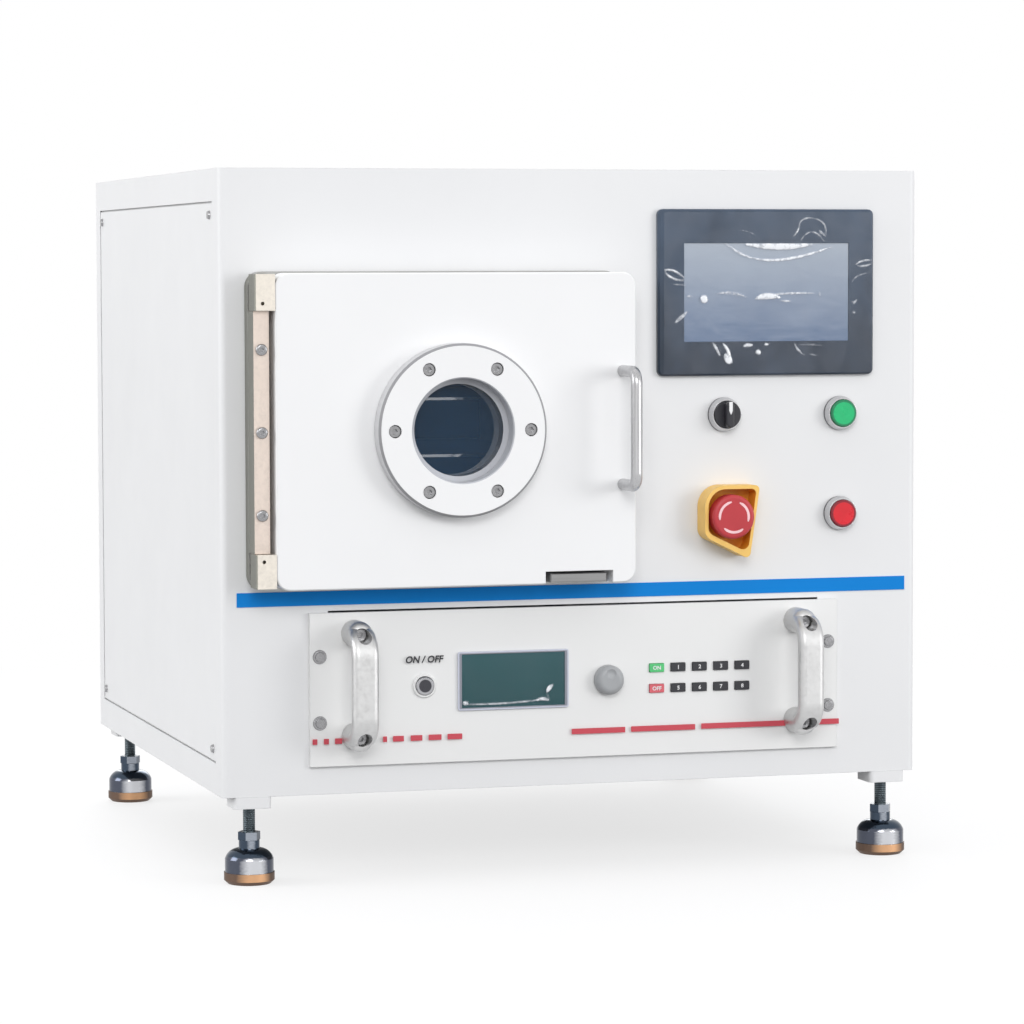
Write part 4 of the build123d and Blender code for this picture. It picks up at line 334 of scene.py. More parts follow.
def screen(name, top, bottom, low, high, roughness, coat=1.0):
    """A display that is off: a soft vertical gradient, lighter towards the top as a painted reflection,
    under a glossy face.
    """
    graph = Graph(name)
    haze = graph.span(graph.noise(SCREEN_HAZE, 4.0, 0.6, 0.8), 0.0, 0.2)
    # Painted reflection: the display lightens towards its top
    graph.colour(graph.mix(haze, graph.mix(graph.along("Z", low, high), bottom, top), toned(top, 1.25)))
    graph.roughness(graph.noise(CAP_CLOUDS), roughness, roughness + 0.08)
    graph.set(Coat_Weight=coat, Coat_Roughness=0.03, Specular_IOR_Level=coat / 2)
    return graph.material


def slate(name, light, dark, low, high):
    """Moulded bezel with a painted reflection: its tone lightens upwards and towards the left."""
    graph = Graph(name)
    # Painted reflection: lighter towards the top and the upper left
    rise = graph.along("Z", low.z, high.z)
    upper_left = graph.maths("MULTIPLY", graph.along("X", high.x, low.x), rise)
    lit = graph.maths("MAXIMUM", upper_left, graph.span(rise, 0.0, 0.75, 0.0, 1.0))
    clouds = graph.span(graph.noise(BEZEL_CLOUDS, 3.0, 0.6, 0.6), -0.35, 0.45)
    tone = graph.mix(graph.maths("ADD", lit, clouds, clamp=True), dark, light)
    graph.colour(graph.mix(graph.edges(PAINT_EDGE), tone, toned(light, 0.7)))
    graph.roughness(graph.noise(HANDLED, 5.0, 0.65), 0.3, 0.42)
    graph.bump(graph.noise(BEZEL_GRAIN, 2.0), 0.05, GRAIN_DEPTH)
    return graph.material


def threaded(name, colour, pitch):
    """Bare metal with a screw thread's bands along Z, of which the wave node has one to tau / 20; painted
    shade darkens each band's groove.
    """
    graph = Graph(name)
    wave = graph.node("ShaderNodeTexWave", wave_type="BANDS", bands_direction="Z")
    wave.inputs["Scale"].default_value = math.tau / 20 / pitch
    graph.link(graph.place, wave.inputs["Vector"])
    # Painted shade: the thread's grooves are darker
    graph.colour(graph.mix(wave.outputs["Fac"], toned(colour, 0.45), colour))
    graph.roughness(graph.noise(THREAD_STAINS), 0.22, 0.38)
    graph.bump(wave.outputs["Fac"], 0.9, pitch / 2, 0.0)
    graph.set(Metallic=1.0)
    return graph.material


def clear_film(name, thin, thick):
    """Clear film: faint haze between two strengths, and creases with painted glints, bright and broken."""
    graph = Graph(name)
    crease = graph.node("ShaderNodeAttribute", attribute_name="crease").outputs["Fac"]
    ripple = graph.noise(CREASE_RIPPLE, 4.0, 0.6, 0.8)
    grain = graph.span(graph.noise(CREASE_GRAIN, 3.0, 0.6, 0.4), 0.82, 1.12, 0.35, 0.6)
    broken = graph.maths("MULTIPLY", graph.span(ripple, 0.55, 1.25, 0.3, 0.65), grain)
    # Painted glint: the film turns white and nearly opaque along its creases
    glint = graph.span(graph.maths("MULTIPLY", crease, broken), 0.0, 1.0, 0.12, 0.85)
    haze = graph.noise(HAZE, 4.0, 0.6, 1.0)
    seen = graph.maths("MAXIMUM", graph.span(glint, 0.0, 0.9, 0.0, 1.0), graph.span(haze, thin, thick))
    graph.colour(graph.mix(glint, FILM_HAZE, FILM_GLINT))
    graph.link(seen, graph.shader.inputs["Alpha"])
    graph.roughness(ripple, 0.05, 0.16)
    graph.bump(haze, 0.4, FILM_DEPTH, 0.0)
    return graph.material


# Finishes by the record's material slots
CAP_FACE = 9.9 * MM
POWER_FACE = 5.6 * MM
MATERIALS = {
    "cabinet_white": coated("cabinet_powder_coat", CABINET_WHITE, 0.42),
    "door_white": coated("door_satin_paint", DOOR_WHITE, 0.36, peel=820.0, height=0.08),
    "stripe_blue": coated(
        "stripe_film", STRIPE_BLUE, 0.5, peel=500.0, height=0.05, worn=1.0, specular=0.08, thin=True
    ),
    "raw_aluminium": metal("machined_aluminium", (0.42, 0.42, 0.41), 0.4, ALONG_X),
    "hinge_bar": metal("champagne_bar", (0.66, 0.575, 0.515), 0.5, EVEN),
    "steel": metal("brushed_steel", (0.30, 0.30, 0.30), 0.34, ALONG_X),
    "bright_screws": metal("polished_steel", (0.34, 0.34, 0.35), 0.26, EVEN, height=0.03),
    "seal_rubber": plastic("seal_rubber", (0.03, 0.03, 0.03), 0.6),
    "ceramic_white": plastic("ceramic", (0.86, 0.84, 0.80), 0.5, grain=700.0, height=0.15, worn=1.0),
    # Painted shade: the glass's dark blue body darkens the view into the chamber
    "glass": see_through("sight_glass", (0.02, 0.06, 0.12), alpha=0.3, roughness=0.02),
    "black_plastic": plastic("black_plastic", (0.018, 0.018, 0.024), 0.42),
    "switch_metal": metal("chromed_bezel", (0.60, 0.60, 0.61), 0.22, EVEN, height=0.02),
    "button_green": capped(
        "green_cap", (0.004, 0.50, 0.17), rim=(0.002, 0.20, 0.08), node="green_button", reach=CAP_FACE
    ),
    "button_red": capped(
        "red_cap", (0.72, 0.005, 0.018), rim=(0.24, 0.004, 0.016), node="red_button", reach=CAP_FACE
    ),
    "estop_red": plastic("stop_head", (0.50, 0.035, 0.045), 0.4, height=0.06, worn=1.1),
    "estop_stem_grey": plastic("stop_stem", (0.1, 0.1, 0.1), 0.5),
    "guard_yellow": plastic(
        "guard_plastic", (0.92, 0.58, 0.15), 0.45, grain=700.0, height=0.12, worn=1.05
    ),
    "hmi_slate": slate(
        "bezel_plastic", (0.05, 0.078, 0.125), (0.008, 0.018, 0.036), *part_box("hmi_bezel")
    ),
    "screen": screen(
        "touch_screen", (0.38, 0.43, 0.50), (0.07, 0.13, 0.25), SCREEN_LOW.z, SCREEN_HIGH.z,
        roughness=0.16,
    ),
    "panel_white": coated("panel_paint", PANEL_WHITE, 0.4, peel=760.0, height=0.08),
    "cast_handle": metal("cast_aluminium", (0.60, 0.60, 0.60), 0.45, CAST, height=0.25),
    "lcd": coated("display_frame", (0.62, 0.64, 0.74), 0.3, peel=900.0, height=0.04, gloss=0.2),
    "power_button_grey": capped(
        "button_metal", (0.07, 0.07, 0.08), rim=(0.42, 0.42, 0.44), node="power_button",
        reach=POWER_FACE, metallic=1.0,
    ),
    "dial_grey": plastic("dial_cap", (0.36, 0.37, 0.38), 0.4, grain=800.0, height=0.05, worn=1.1),
    "key_green": plastic("green_key", (0.09, 0.56, 0.19), 0.4),
    "key_red": plastic("red_key", (0.70, 0.13, 0.16), 0.4),
    "key_black": plastic("black_key", (0.022, 0.022, 0.028), 0.45),
    "foot_chrome": chromed("foot_chrome", (0.055, 0.075, 0.105), (0.34, 0.37, 0.42), 0.14, 0.90, 1.0),
}

# Finishes for some faces of a solid, or for a whole node that its slot's finish doesn't suit
THREAD_PITCH = 1.75 * MM
# The display's glass takes the same painted reflection, lighter towards its top
DISPLAY_GLASS = screen(
    "display_glass", (0.034, 0.10, 0.11), (0.02, 0.07, 0.078), DISPLAY_LOW.z, DISPLAY_HIGH.z,
    roughness=0.3, coat=0.25,
)
STUD_THREAD = threaded("stud_thread", (0.22, 0.27, 0.30), THREAD_PITCH)
# The feet's cup and pad take the same painted reflection, brighter on faces towards the front and the rear
CUP_METAL = chromed("foot_cup", (0.09, 0.10, 0.13), (0.62, 0.63, 0.66), 0.16, 0.80, 0.97)
BASE_RUBBER = chromed("foot_pad", (0.15, 0.10, 0.075), (0.58, 0.34, 0.19), 0.5, 0.72, 0.97)
BLOCK_METAL = metal("champagne_block", (0.70, 0.655, 0.59), 0.5, EVEN)
# Painted shade: the guard's yellow, deepened to orange inside it
GUARD_INNER_SHADE = plastic("guard_inner_shade", (0.93, 0.40, 0.03), 0.45, grain=700.0, height=0.12, worn=1.05)
# Painted shade: the hinge's left-facing sides take this darker metal
SHADED_SIDE_METAL = metal("shaded_side", (0.27, 0.27, 0.24), 0.45, ALONG_Z)
# Painted shade on the window ring: its side, the edge between side and face, and its bore
SHADED_RING_SIDE = coated("ring_side_shade", (0.60, 0.60, 0.61), 0.4, peel=820.0, height=0.05)
SHADED_RING_EDGE = coated("ring_edge_shade", (0.30, 0.30, 0.31), 0.4, peel=820.0, height=0.05)
SHADED_RING_BORE = coated("ring_bore_shade", (0.54, 0.55, 0.58), 0.3, peel=820.0, height=0.05)
HANDLE_BAR = metal("handle_bar", (0.50, 0.50, 0.51), 0.3, ALONG_Z, height=0.05)
# Painted highlight: the shelves' front faces and the lip take near-white polished metal, so they stand out
# as bright lines
SHELF_EDGE_HIGHLIGHT = metal("shelf_edge_highlight", (0.97, 0.98, 1.0), 0.1, ALONG_X, height=0.02, worn=1.0, spread=0.02)
SWITCH_BASE_SHADE = metal("switch_base_shade", (0.16, 0.16, 0.17), 0.3, EVEN, height=0.02)
# Painted shade: the aluminium chamber's inside, darkened to blue-grey
CHAMBER_SHADE = metal("chamber_shade", (0.16, 0.20, 0.26), 0.4, ALONG_X)

# Inks and films of the pieces that are made here
BLACK_INK = plastic("printed_ink", INK_BLACK, 0.5, grain=1200.0, height=0.05)
WHITE_INK = plastic("white_ink", (0.85, 0.85, 0.85), 0.5, grain=1200.0, height=0.05, worn=1.0)
PINK_INK = plastic("pale_ink", (0.95, 0.62, 0.64), 0.45, grain=1200.0, height=0.05, worn=1.0)
DASH_INK = coated("dash_film", DASH_RED, 0.5, peel=900.0, height=0.04, worn=1.0, specular=0.2, thin=True)
SCREEN_FILM = clear_film("screen_film", 0.02, 0.10)
DISPLAY_FILM = clear_film("display_film", 0.0, 0.03)


def dress(record):
    """Each solid takes its slot's finish."""
    for part in record["subparts"]:
        mesh = nodes[part["node"]].data
        mesh.materials.clear()
        mesh.materials.append(MATERIALS[part["material_slot"]])


# A face looks forwards or partly forwards where its normal's Y is below these, and left by its X
FORWARDS = -0.9
PARTLY_FORWARDS = -0.5
LEFTWARDS = -0.7


def paint_where(node, material, inside):
    """Faces of a node whose centre and normal pass the test take another finish."""
    mesh = nodes[node].data
    mesh.materials.append(material)
    index = len(mesh.materials) - 1
    for face in mesh.polygons:
        if inside(face.center, face.normal):
            face.material_index = index


# Feet: heights above the floor where the base, the cup and the stud's thread end or begin
BASE_TOP = 10.0 * MM
CUP_TOP = 24.0 * MM
THREAD_START = 44.0 * MM
THREAD_REACH = 5.4 * MM


def foot_finish(foot):
    low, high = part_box(foot)
    axis_x = (low.x + high.x) / 2
    axis_y = (low.y + high.y) / 2

    def on_stud(spot, normal):
        return spot.z > THREAD_START and math.hypot(spot.x - axis_x, spot.y - axis_y) < THREAD_REACH

    paint_where(foot, CUP_METAL, lambda spot, normal: spot.z < CUP_TOP)
    paint_where(foot, BASE_RUBBER, lambda spot, normal: spot.z < BASE_TOP)
    paint_where(foot, STUD_THREAD, on_stud)


# Generator's display: the glass lies behind its frame's face
GLASS_RECESS = 0.5 * MM


def display_finish():
    glass_y = DISPLAY_LOW.y + GLASS_RECESS
    paint_where("lcd_window", DISPLAY_GLASS, lambda spot, normal: normal.y < FORWARDS and spot.y > glass_y)


# Window ring: its side, its bore and the edge between side and face take darker paint as painted shade.
# The face's normals have a Y below the first value, and those of the edge lie between the two
RING_FLAT = -0.96
RING_TURNED = -0.3
RING_RIM = 3.0 * MM
RING_BORE_REACH = 46.0 * MM
RING_FACE_DEPTH = 1.0 * MM


def ring_finish():
    low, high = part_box("window_ring")
    axis_x, axis_z = middle_of("window_ring")
    rim_reach = (high.x - low.x) / 2 - RING_RIM

    def reach(spot):
        return math.hypot(spot.x - axis_x, spot.z - axis_z)

    def on_side(spot, normal):
        return normal.y > RING_TURNED and reach(spot) > rim_reach

    def on_edge(spot, normal):
        return RING_TURNED > normal.y > RING_FLAT and reach(spot) > rim_reach

    def in_bore(spot, normal):
        behind = normal.y > RING_FLAT or spot.y > low.y + RING_FACE_DEPTH
        return behind and reach(spot) < RING_BORE_REACH

    paint_where("window_ring", SHADED_RING_SIDE, on_side)
    paint_where("window_ring", SHADED_RING_EDGE, on_edge)
    paint_where("window_ring", SHADED_RING_BORE, in_bore)


# Emergency stop's guard: faces that look at its axis, and the floor behind the head, take an orange
# painted shade
GUARD_FLOOR_DEPTH = 4.0 * MM
GUARD_WALL = 0.7


def guard_finish():
    floor_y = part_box("estop_guard")[0].y + GUARD_FLOOR_DEPTH
    axis_x, axis_z = middle_of("estop_guard")

    def inward(spot, normal):
        across = Vector((spot.x - axis_x, 0.0, spot.z - axis_z))
        on_wall = abs(normal.y) < GUARD_WALL and across.dot(normal) < 0.0
        return on_wall or (normal.y < FORWARDS and spot.y > floor_y)

    paint_where("estop_guard", GUARD_INNER_SHADE, inward)


# Switches: the bezels' sides are dark near the cabinet's front, a painted shade on the chrome
SWITCH_BASE_HEIGHT = 3.1 * MM


def switch_finish():
    base_y = CABINET_LOW.y - SWITCH_BASE_HEIGHT

    def at_base(spot, normal):
        return spot.y > base_y and normal.y > PARTLY_FORWARDS

    paint_where("switch_bodies", SWITCH_BASE_SHADE, at_base)


def hinge_finish():
    nodes["hinge_blocks"].data.materials[0] = BLOCK_METAL
    # Painted shade on the faces of the hinge and flange that look left
    for node in ("hinge_blocks", "hinge_bar", "chamber_flange"):
        paint_where(node, SHADED_SIDE_METAL, lambda spot, normal: normal.x < LEFTWARDS)


def chamber_finish():
    # The chamber takes its painted shade
    nodes["chamber"].data.materials[0] = CHAMBER_SHADE
    # Painted highlight on the shelves' forward faces
    paint_where("electrode_shelves", SHELF_EDGE_HIGHLIGHT, lambda spot, normal: normal.y < PARTLY_FORWARDS)


def handle_finish():
    nodes["door_handle"].data.materials[0] = HANDLE_BAR


# Pieces in mesh code: what is printed stands this far out of a face and reaches this far into it
PRINT_RISE = 0.12 * MM
PRINT_SINK = 0.05 * MM

# Straight runs that a rounded corner is made of
CORNER_STEPS = 2


def piece(name, mesh, body, material):
    made = bpy.data.objects.new(name, mesh)
    bpy.context.scene.collection.objects.link(made)
    mesh.materials.append(material)
    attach(made, body)


def rounded_outline(width, height, radius):
    """Points round a rounded rectangle about the origin."""
    points = []
    for across, up, start in ((1, 1, 0), (-1, 1, 90), (-1, -1, 180), (1, -1, 270)):
        middle_x = across * (width / 2 - radius)
        middle_z = up * (height / 2 - radius)
        for step in range(CORNER_STEPS + 1):
            angle = math.radians(start + 90 * step / CORNER_STEPS)
            points.append((middle_x + radius * math.cos(angle), middle_z + radius * math.sin(angle)))
    return points


def upright_prism(build, outline, middle, back, front):
    """Adds a prism to a bmesh: an outline in X and Z, between two depths in Y."""
    rims = []
    for depth in (back, front):
        rims.append([build.verts.new((middle[0] + x, depth, middle[1] + z)) for x, z in outline])
    build.faces.new(rims[1])
    build.faces.new(list(reversed(rims[0])))
    for index in range(len(outline)):
        after = (index + 1) % len(outline)
        build.faces.new((rims[0][index], rims[0][after], rims[1][after], rims[1][index]))


def finished(build, name):
    bmesh.ops.recalc_face_normals(build, faces=build.faces)
    mesh = bpy.data.meshes.new(name)
    build.to_mesh(mesh)
    build.free()
    return mesh


# Red dashes on the rack panel: where each starts and ends, in millimetres from the cabinet's left side
DASHES = (
    (77.8, 82.0), (87.8, 92.2), (97.6, 104.0), (111.5, 116.5), (140.2, 143.7), (149.0, 158.7),
    (164.8, 175.2), (180.8, 192.4), (197.8, 211.0), (310.4, 359.6), (365.1, 424.5), (430.1, 560.0),
)
DASH_RISE_LEFT = 46.3
DASH_RISE_RIGHT = 47.7
DASH_HEIGHT = 4.8
DASH_CORNER = 0.3
DASH_SKIN = 0.15


def dash_line():
    build = bmesh.new()
    first = DASHES[0][0]
    last = DASHES[-1][1]
    for start, end in DASHES:
        middle_x = (start + end) / 2
        share = (middle_x - first) / (last - first)
        rise = DASH_RISE_LEFT + share * (DASH_RISE_RIGHT - DASH_RISE_LEFT)
        middle = (CABINET_LOW.x + middle_x * MM, CABINET_LOW.z + rise * MM)
        outline = rounded_outline((end - start) * MM, DASH_HEIGHT * MM, DASH_CORNER * MM)
        upright_prism(build, outline, middle, PANEL_LOW.y, PANEL_LOW.y - DASH_SKIN * MM)
    piece("panel_dashes", finished(build, "panel_dashes"), "cabinet", DASH_INK)


# Signs: how much bolder than the font, and how deep before they are set on their face
SIGN_BOLDNESS = 0.028
SIGN_DEPTH = 0.02


def sign(name, text, height, middle, face_y, body, material, slant=0.0, width=None):
    """A plain sign on an upright face, centred on a place in X and Z."""
    curve = bpy.data.curves.new(name, "FONT")
    curve.body = text
    curve.align_x = "CENTER"
    curve.align_y = "CENTER"
    curve.shear = slant
    curve.offset = SIGN_BOLDNESS
    curve.extrude = SIGN_DEPTH
    curve.resolution_u = 3
    holder = bpy.data.objects.new(name + "_curve", curve)
    bpy.context.scene.collection.objects.link(holder)
    bpy.context.view_layer.update()
    mesh = bpy.data.meshes.new_from_object(holder.evaluated_get(bpy.context.evaluated_depsgraph_get()))
    bpy.data.objects.remove(holder)
    xs = [vertex.co.x for vertex in mesh.vertices]
    ys = [vertex.co.y for vertex in mesh.vertices]
    scale_y = height / (max(ys) - min(ys))
    scale_x = scale_y if width is None else width / (max(xs) - min(xs))
    centre_x = (max(xs) + min(xs)) / 2
    centre_y = (max(ys) + min(ys)) / 2
    for vertex in mesh.vertices:
        x, y, z = vertex.co
        depth = face_y - PRINT_RISE if z > 0 else face_y + PRINT_SINK
        vertex.co = (middle[0] + (x - centre_x) * scale_x, depth, middle[1] + (y - centre_y) * scale_y)
    mesh.name = name
    mesh.materials.clear()
    piece(name, mesh, body, material)


KEY_SIGNS = ("ON", "1", "2", "3", "4", "OFF", "5", "6", "7", "8")
KEY_SIGN_HEIGHT = 3.6 * MM


def key_signs():
    for key, text in zip(KEYS, KEY_SIGNS):
        sign(f"{key}_sign", text, KEY_SIGN_HEIGHT, middle_of(key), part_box(key)[0].y, key, WHITE_INK)


# Sign over the power button: its middle is this high above the cabinet's bottom
POWER_SIGN_RISE = 114.6 * MM
POWER_SIGN_HEIGHT = 6.2 * MM
POWER_SIGN_WIDTH = 34.0 * MM
POWER_SIGN_SLANT = 0.2


def power_sign():
    middle = (middle_of("power_button")[0], CABINET_LOW.z + POWER_SIGN_RISE)
    sign(
        "power_sign", "ON / OFF", POWER_SIGN_HEIGHT, middle, PANEL_LOW.y, "cabinet", BLACK_INK,
        POWER_SIGN_SLANT, POWER_SIGN_WIDTH,
    )


# Emergency stop: three pale arcs round the head, which narrow towards their ends
ARC_RADIUS = 13.4 * MM
ARC_WIDTH = 2.3 * MM
ARC_SPANS = ((100.0, 190.0), (68.0, -18.0), (308.0, 226.0))
ARC_STEPS = 18
ARC_END_SHARE = 0.45
ARC_SWELL = 4.0


def estop_arcs():
    face_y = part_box("estop_head")[0].y
    build = bmesh.new()
    for start, end in ARC_SPANS:
        outer = []
        inner = []
        for step in range(ARC_STEPS + 1):
            share = step / ARC_STEPS
            angle = math.radians(start + (end - start) * share)
            half = ARC_WIDTH / 2 * min(1.0, ARC_END_SHARE + ARC_SWELL * min(share, 1 - share))
            for radius, side in ((ARC_RADIUS + half, outer), (ARC_RADIUS - half, inner)):
                side.append((radius * math.cos(angle), radius * math.sin(angle)))
        outline = outer + list(reversed(inner))
        upright_prism(build, outline, middle_of("estop_head"), face_y + PRINT_SINK, face_y - PRINT_RISE)
    piece("estop_arcs", finished(build, "estop_arcs"), "estop_head", PINK_INK)


# Selector's white pointer, in millimetres up from the switch's axis: it narrows to a tip there
POINTER_WIDTH = 3.2
POINTER_TOP = 11.6
POINTER_TIP = 0.2
POINTER_TAPER = 3.6
POINTER_NOSE_WIDTH = 0.55
POINTER_NOSE_RISE = 0.45
POINTER_SINK = 0.2
POINTER_RISE = 0.1


def selector_pointer():
    face_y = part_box("selector_knob")[0].y
    half = POINTER_WIDTH / 2
    nose = half * POINTER_NOSE_WIDTH
    nose_z = POINTER_TIP + POINTER_TAPER * POINTER_NOSE_RISE
    shoulder_z = POINTER_TIP + POINTER_TAPER
    outline = (
        (0.0, POINTER_TIP), (nose, nose_z), (half, shoulder_z), (half, POINTER_TOP),
        (-half, POINTER_TOP), (-half, shoulder_z), (-nose, nose_z),
    )
    build = bmesh.new()
    shape = [(x * MM, z * MM) for x, z in outline]
    back = face_y + POINTER_SINK * MM
    upright_prism(build, shape, middle_of("selector_knob"), back, face_y - POINTER_RISE * MM)
    piece("selector_pointer", finished(build, "selector_pointer"), "selector", WHITE_INK)


# Folded lip along the rear of the lower shelf, in the near-white metal of the shelves' painted highlight
LIP_HEIGHT = 2.4 * MM
LIP_DEPTH = 1.2 * MM
LIP_SHORTER = 2.0 * MM
LIP_CORNER = 0.4 * MM


def shelf_lip():
    low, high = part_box("electrode_shelves")
    heights = [vertex.co.z for vertex in nodes["electrode_shelves"].data.vertices]
    shelf_top = max(z for z in heights if z < (low.z + high.z) / 2)
    middle = ((low.x + high.x) / 2, shelf_top + LIP_HEIGHT / 2)
    build = bmesh.new()
    outline = rounded_outline(high.x - low.x - LIP_SHORTER, LIP_HEIGHT, LIP_CORNER)
    upright_prism(build, outline, middle, high.y, high.y - LIP_DEPTH)
    piece("shelf_lip", finished(build, "shelf_lip"), "cabinet", SHELF_EDGE_HIGHLIGHT)


# Clear protective films, in millimetres: their grid, how far they stand off, rise in a crease and ripple
FILM_STEP = 1.0
FILM_LIFT = 0.5
FILM_FOLD = 0.9
FILM_RIPPLE = 0.22
FILM_RIPPLE_X = 0.06
FILM_RIPPLE_Z = 0.085
FILM_RIPPLE_SEED = 4.1

# How far a film's edges lie inside its solid's: left, below, right and above
SCREEN_INSET = (5.0, 2.0, 1.5, 2.5)
DISPLAY_INSET = (1.0, 1.0, 1.0, 1.0)

# A crease's softness, and how its width goes from a share at its ends to the full width in its middle
CREASE_STEPS = 8
CREASE_SOFT = 1.1
CREASE_FADE = 1.6
CREASE_END_SHARE = 0.2
CREASE_SWELL = 3.2

# Each crease's start, bend and end in millimetres from the lower left corner of the solid that the film
# covers, then its half width and its strength: the film rises there and carries a painted glint
SCREEN_CREASE_GLINTS = (
    ((81.2, 115.0), (111.0, 111.2), (142.3, 115.0), 2.6, 1.0),
    ((62.2, 115.5), (78.5, 103.9), (89.3, 102.6), 0.8, 0.9),
    ((86.6, 103.2), (113.8, 96.2), (161.3, 113.0), 1.0, 1.0),
    ((125.3, 122.3), (130.7, 126.7), (130.7, 133.1), 0.5, 0.8),
    ((130.7, 133.1), (134.1, 140.0), (145.0, 137.9), 0.5, 0.7),
    ((145.0, 137.9), (156.5, 135.6), (155.8, 124.8), 0.5, 0.7),
    ((132.1, 118.5), (142.3, 134.3), (154.5, 117.6), 0.5, 0.65),
    ((149.0, 128.0), (151.8, 125.4), (155.2, 122.3), 0.9, 0.7),
    ((73.0, 126.7), (83.9, 129.2), (94.1, 118.8), 0.5, 0.45),
    ((5.2, 92.7), (14.7, 94.3), (23.1, 86.1), 0.7, 1.0),
    ((5.8, 91.2), (11.9, 83.5), (22.8, 83.8), 0.7, 0.9),
    ((13.3, 80.4), (18.7, 80.0), (24.8, 79.5), 0.4, 0.6),
    ((14.7, 46.7), (20.1, 50.5), (26.2, 56.2), 1.7, 0.62),
    ((184.3, 97.3), (188.4, 101.6), (198.6, 100.9), 0.5, 1.0),
    ((186.0, 96.0), (191.1, 95.0), (198.2, 97.5), 0.7, 0.9),
    ((180.3, 81.6), (183.7, 88.6), (196.6, 89.9), 0.5, 0.55),
    ((180.5, 64.5), (183.0, 62.6), (185.0, 65.8), 1.2, 0.6),
    ((181.6, 55.0), (182.7, 54.6), (183.8, 55.0), 1.3, 0.5),
    ((41.1, 68.9), (41.8, 67.3), (42.5, 65.8), 3.1, 1.0),
    ((54.0, 71.9), (67.6, 74.4), (81.2, 68.9), 1.4, 0.62),
    ((90.0, 67.3), (98.8, 71.5), (112.4, 68.3), 2.6, 1.0),
    ((102.9, 70.8), (123.3, 72.7), (145.0, 71.9), 0.8, 0.75),
    ((112.4, 65.8), (117.8, 65.3), (122.6, 65.0), 0.7, 0.7),
    ((150.1, 73.1), (150.1, 71.5), (150.1, 69.6), 0.5, 0.7),
    ((26.1, 69.6), (28.2, 70.2), (30.7, 69.6), 0.9, 0.6),
    ((50.2, 28.7), (54.0, 23.2), (56.5, 17.5), 1.0, 0.9),
    ((59.7, 27.9), (64.2, 23.9), (67.6, 11.2), 1.2, 1.0),
    ((61.5, 18.8), (62.8, 15.0), (65.6, 10.9), 2.6, 1.0),
    ((78.7, 25.8), (82.5, 27.0), (86.6, 26.4), 1.4, 1.0),
    ((91.4, 21.1), (92.0, 20.1), (93.1, 19.4), 2.1, 1.0),
    ((98.5, 27.0), (100.2, 27.4), (101.8, 27.0), 0.8, 1.0),
    ((126.6, 27.4), (129.4, 20.7), (135.7, 17.8), 0.7, 0.8),
    ((130.7, 26.4), (140.9, 27.2), (151.8, 25.8), 0.4, 0.6),
    ((139.5, 19.0), (143.6, 17.5), (150.1, 16.5), 0.5, 0.5),
)
DISPLAY_CREASE_GLINTS = (
    ((4.0, 6.5), (6.5, 7.0), (8.5, 5.6), 1.4, 1.0),
    ((7.5, 5.5), (39.0, 4.2), (73.0, 7.2), 0.5, 0.9),
    ((71.0, 7.0), (77.0, 9.4), (81.5, 6.6), 1.1, 1.0),
    ((80.0, 13.5), (82.0, 18.0), (85.5, 20.0), 1.5, 1.0),
    ((80.0, 13.0), (81.5, 10.0), (82.0, 8.0), 0.3, 0.5),
)


def crease_line(start, bend, end, half):
    """Points along a crease, each with the crease's half width there."""
    line = []
    for step in range(CREASE_STEPS + 1):
        share = step / CREASE_STEPS
        a, b, c = (1 - share) ** 2, 2 * share * (1 - share), share * share
        x = a * start[0] + b * bend[0] + c * end[0]
        z = a * start[1] + b * bend[1] + c * end[1]
        wide = half * (CREASE_END_SHARE + CREASE_SWELL * share * (1 - share))
        line.append((Vector((x, z)), wide))
    return line


def crease_mark(place, line):
    """How strongly a crease marks a place: 1 inside it, 0 well away from it."""
    nearest = math.inf
    for (first, wide), (second, wider) in zip(line, line[1:]):
        step = second - first
        share = 0.0
        if step.length_squared:
            share = max(0.0, min(1.0, (place - first).dot(step) / step.length_squared))
        nearest = min(nearest, (place - first - step * share).length - wide - share * (wider - wide))
    return max(0.0, min(1.0, (CREASE_SOFT - nearest) / (CREASE_SOFT * CREASE_FADE)))


def crease_marks(across, up, creases, left, below):
    """The strongest crease at each place of a film's grid, row by row."""
    marks = [[0.0] * len(across) for z in up]
    for *spots, half, strength in creases:
        spots = [(x - left, z - below) for x, z in spots]
        line = crease_line(*spots, half)
        margin = half + CREASE_SOFT * 2
        xs, zs = zip(*spots)
        for row, z in enumerate(up):
            if not min(zs) - margin < z < max(zs) + margin:
                continue
            for column, x in enumerate(across):
                if min(xs) - margin < x < max(xs) + margin:
                    mark = strength * crease_mark(Vector((x, z)), line)
                    marks[row][column] = max(marks[row][column], mark)
    return marks


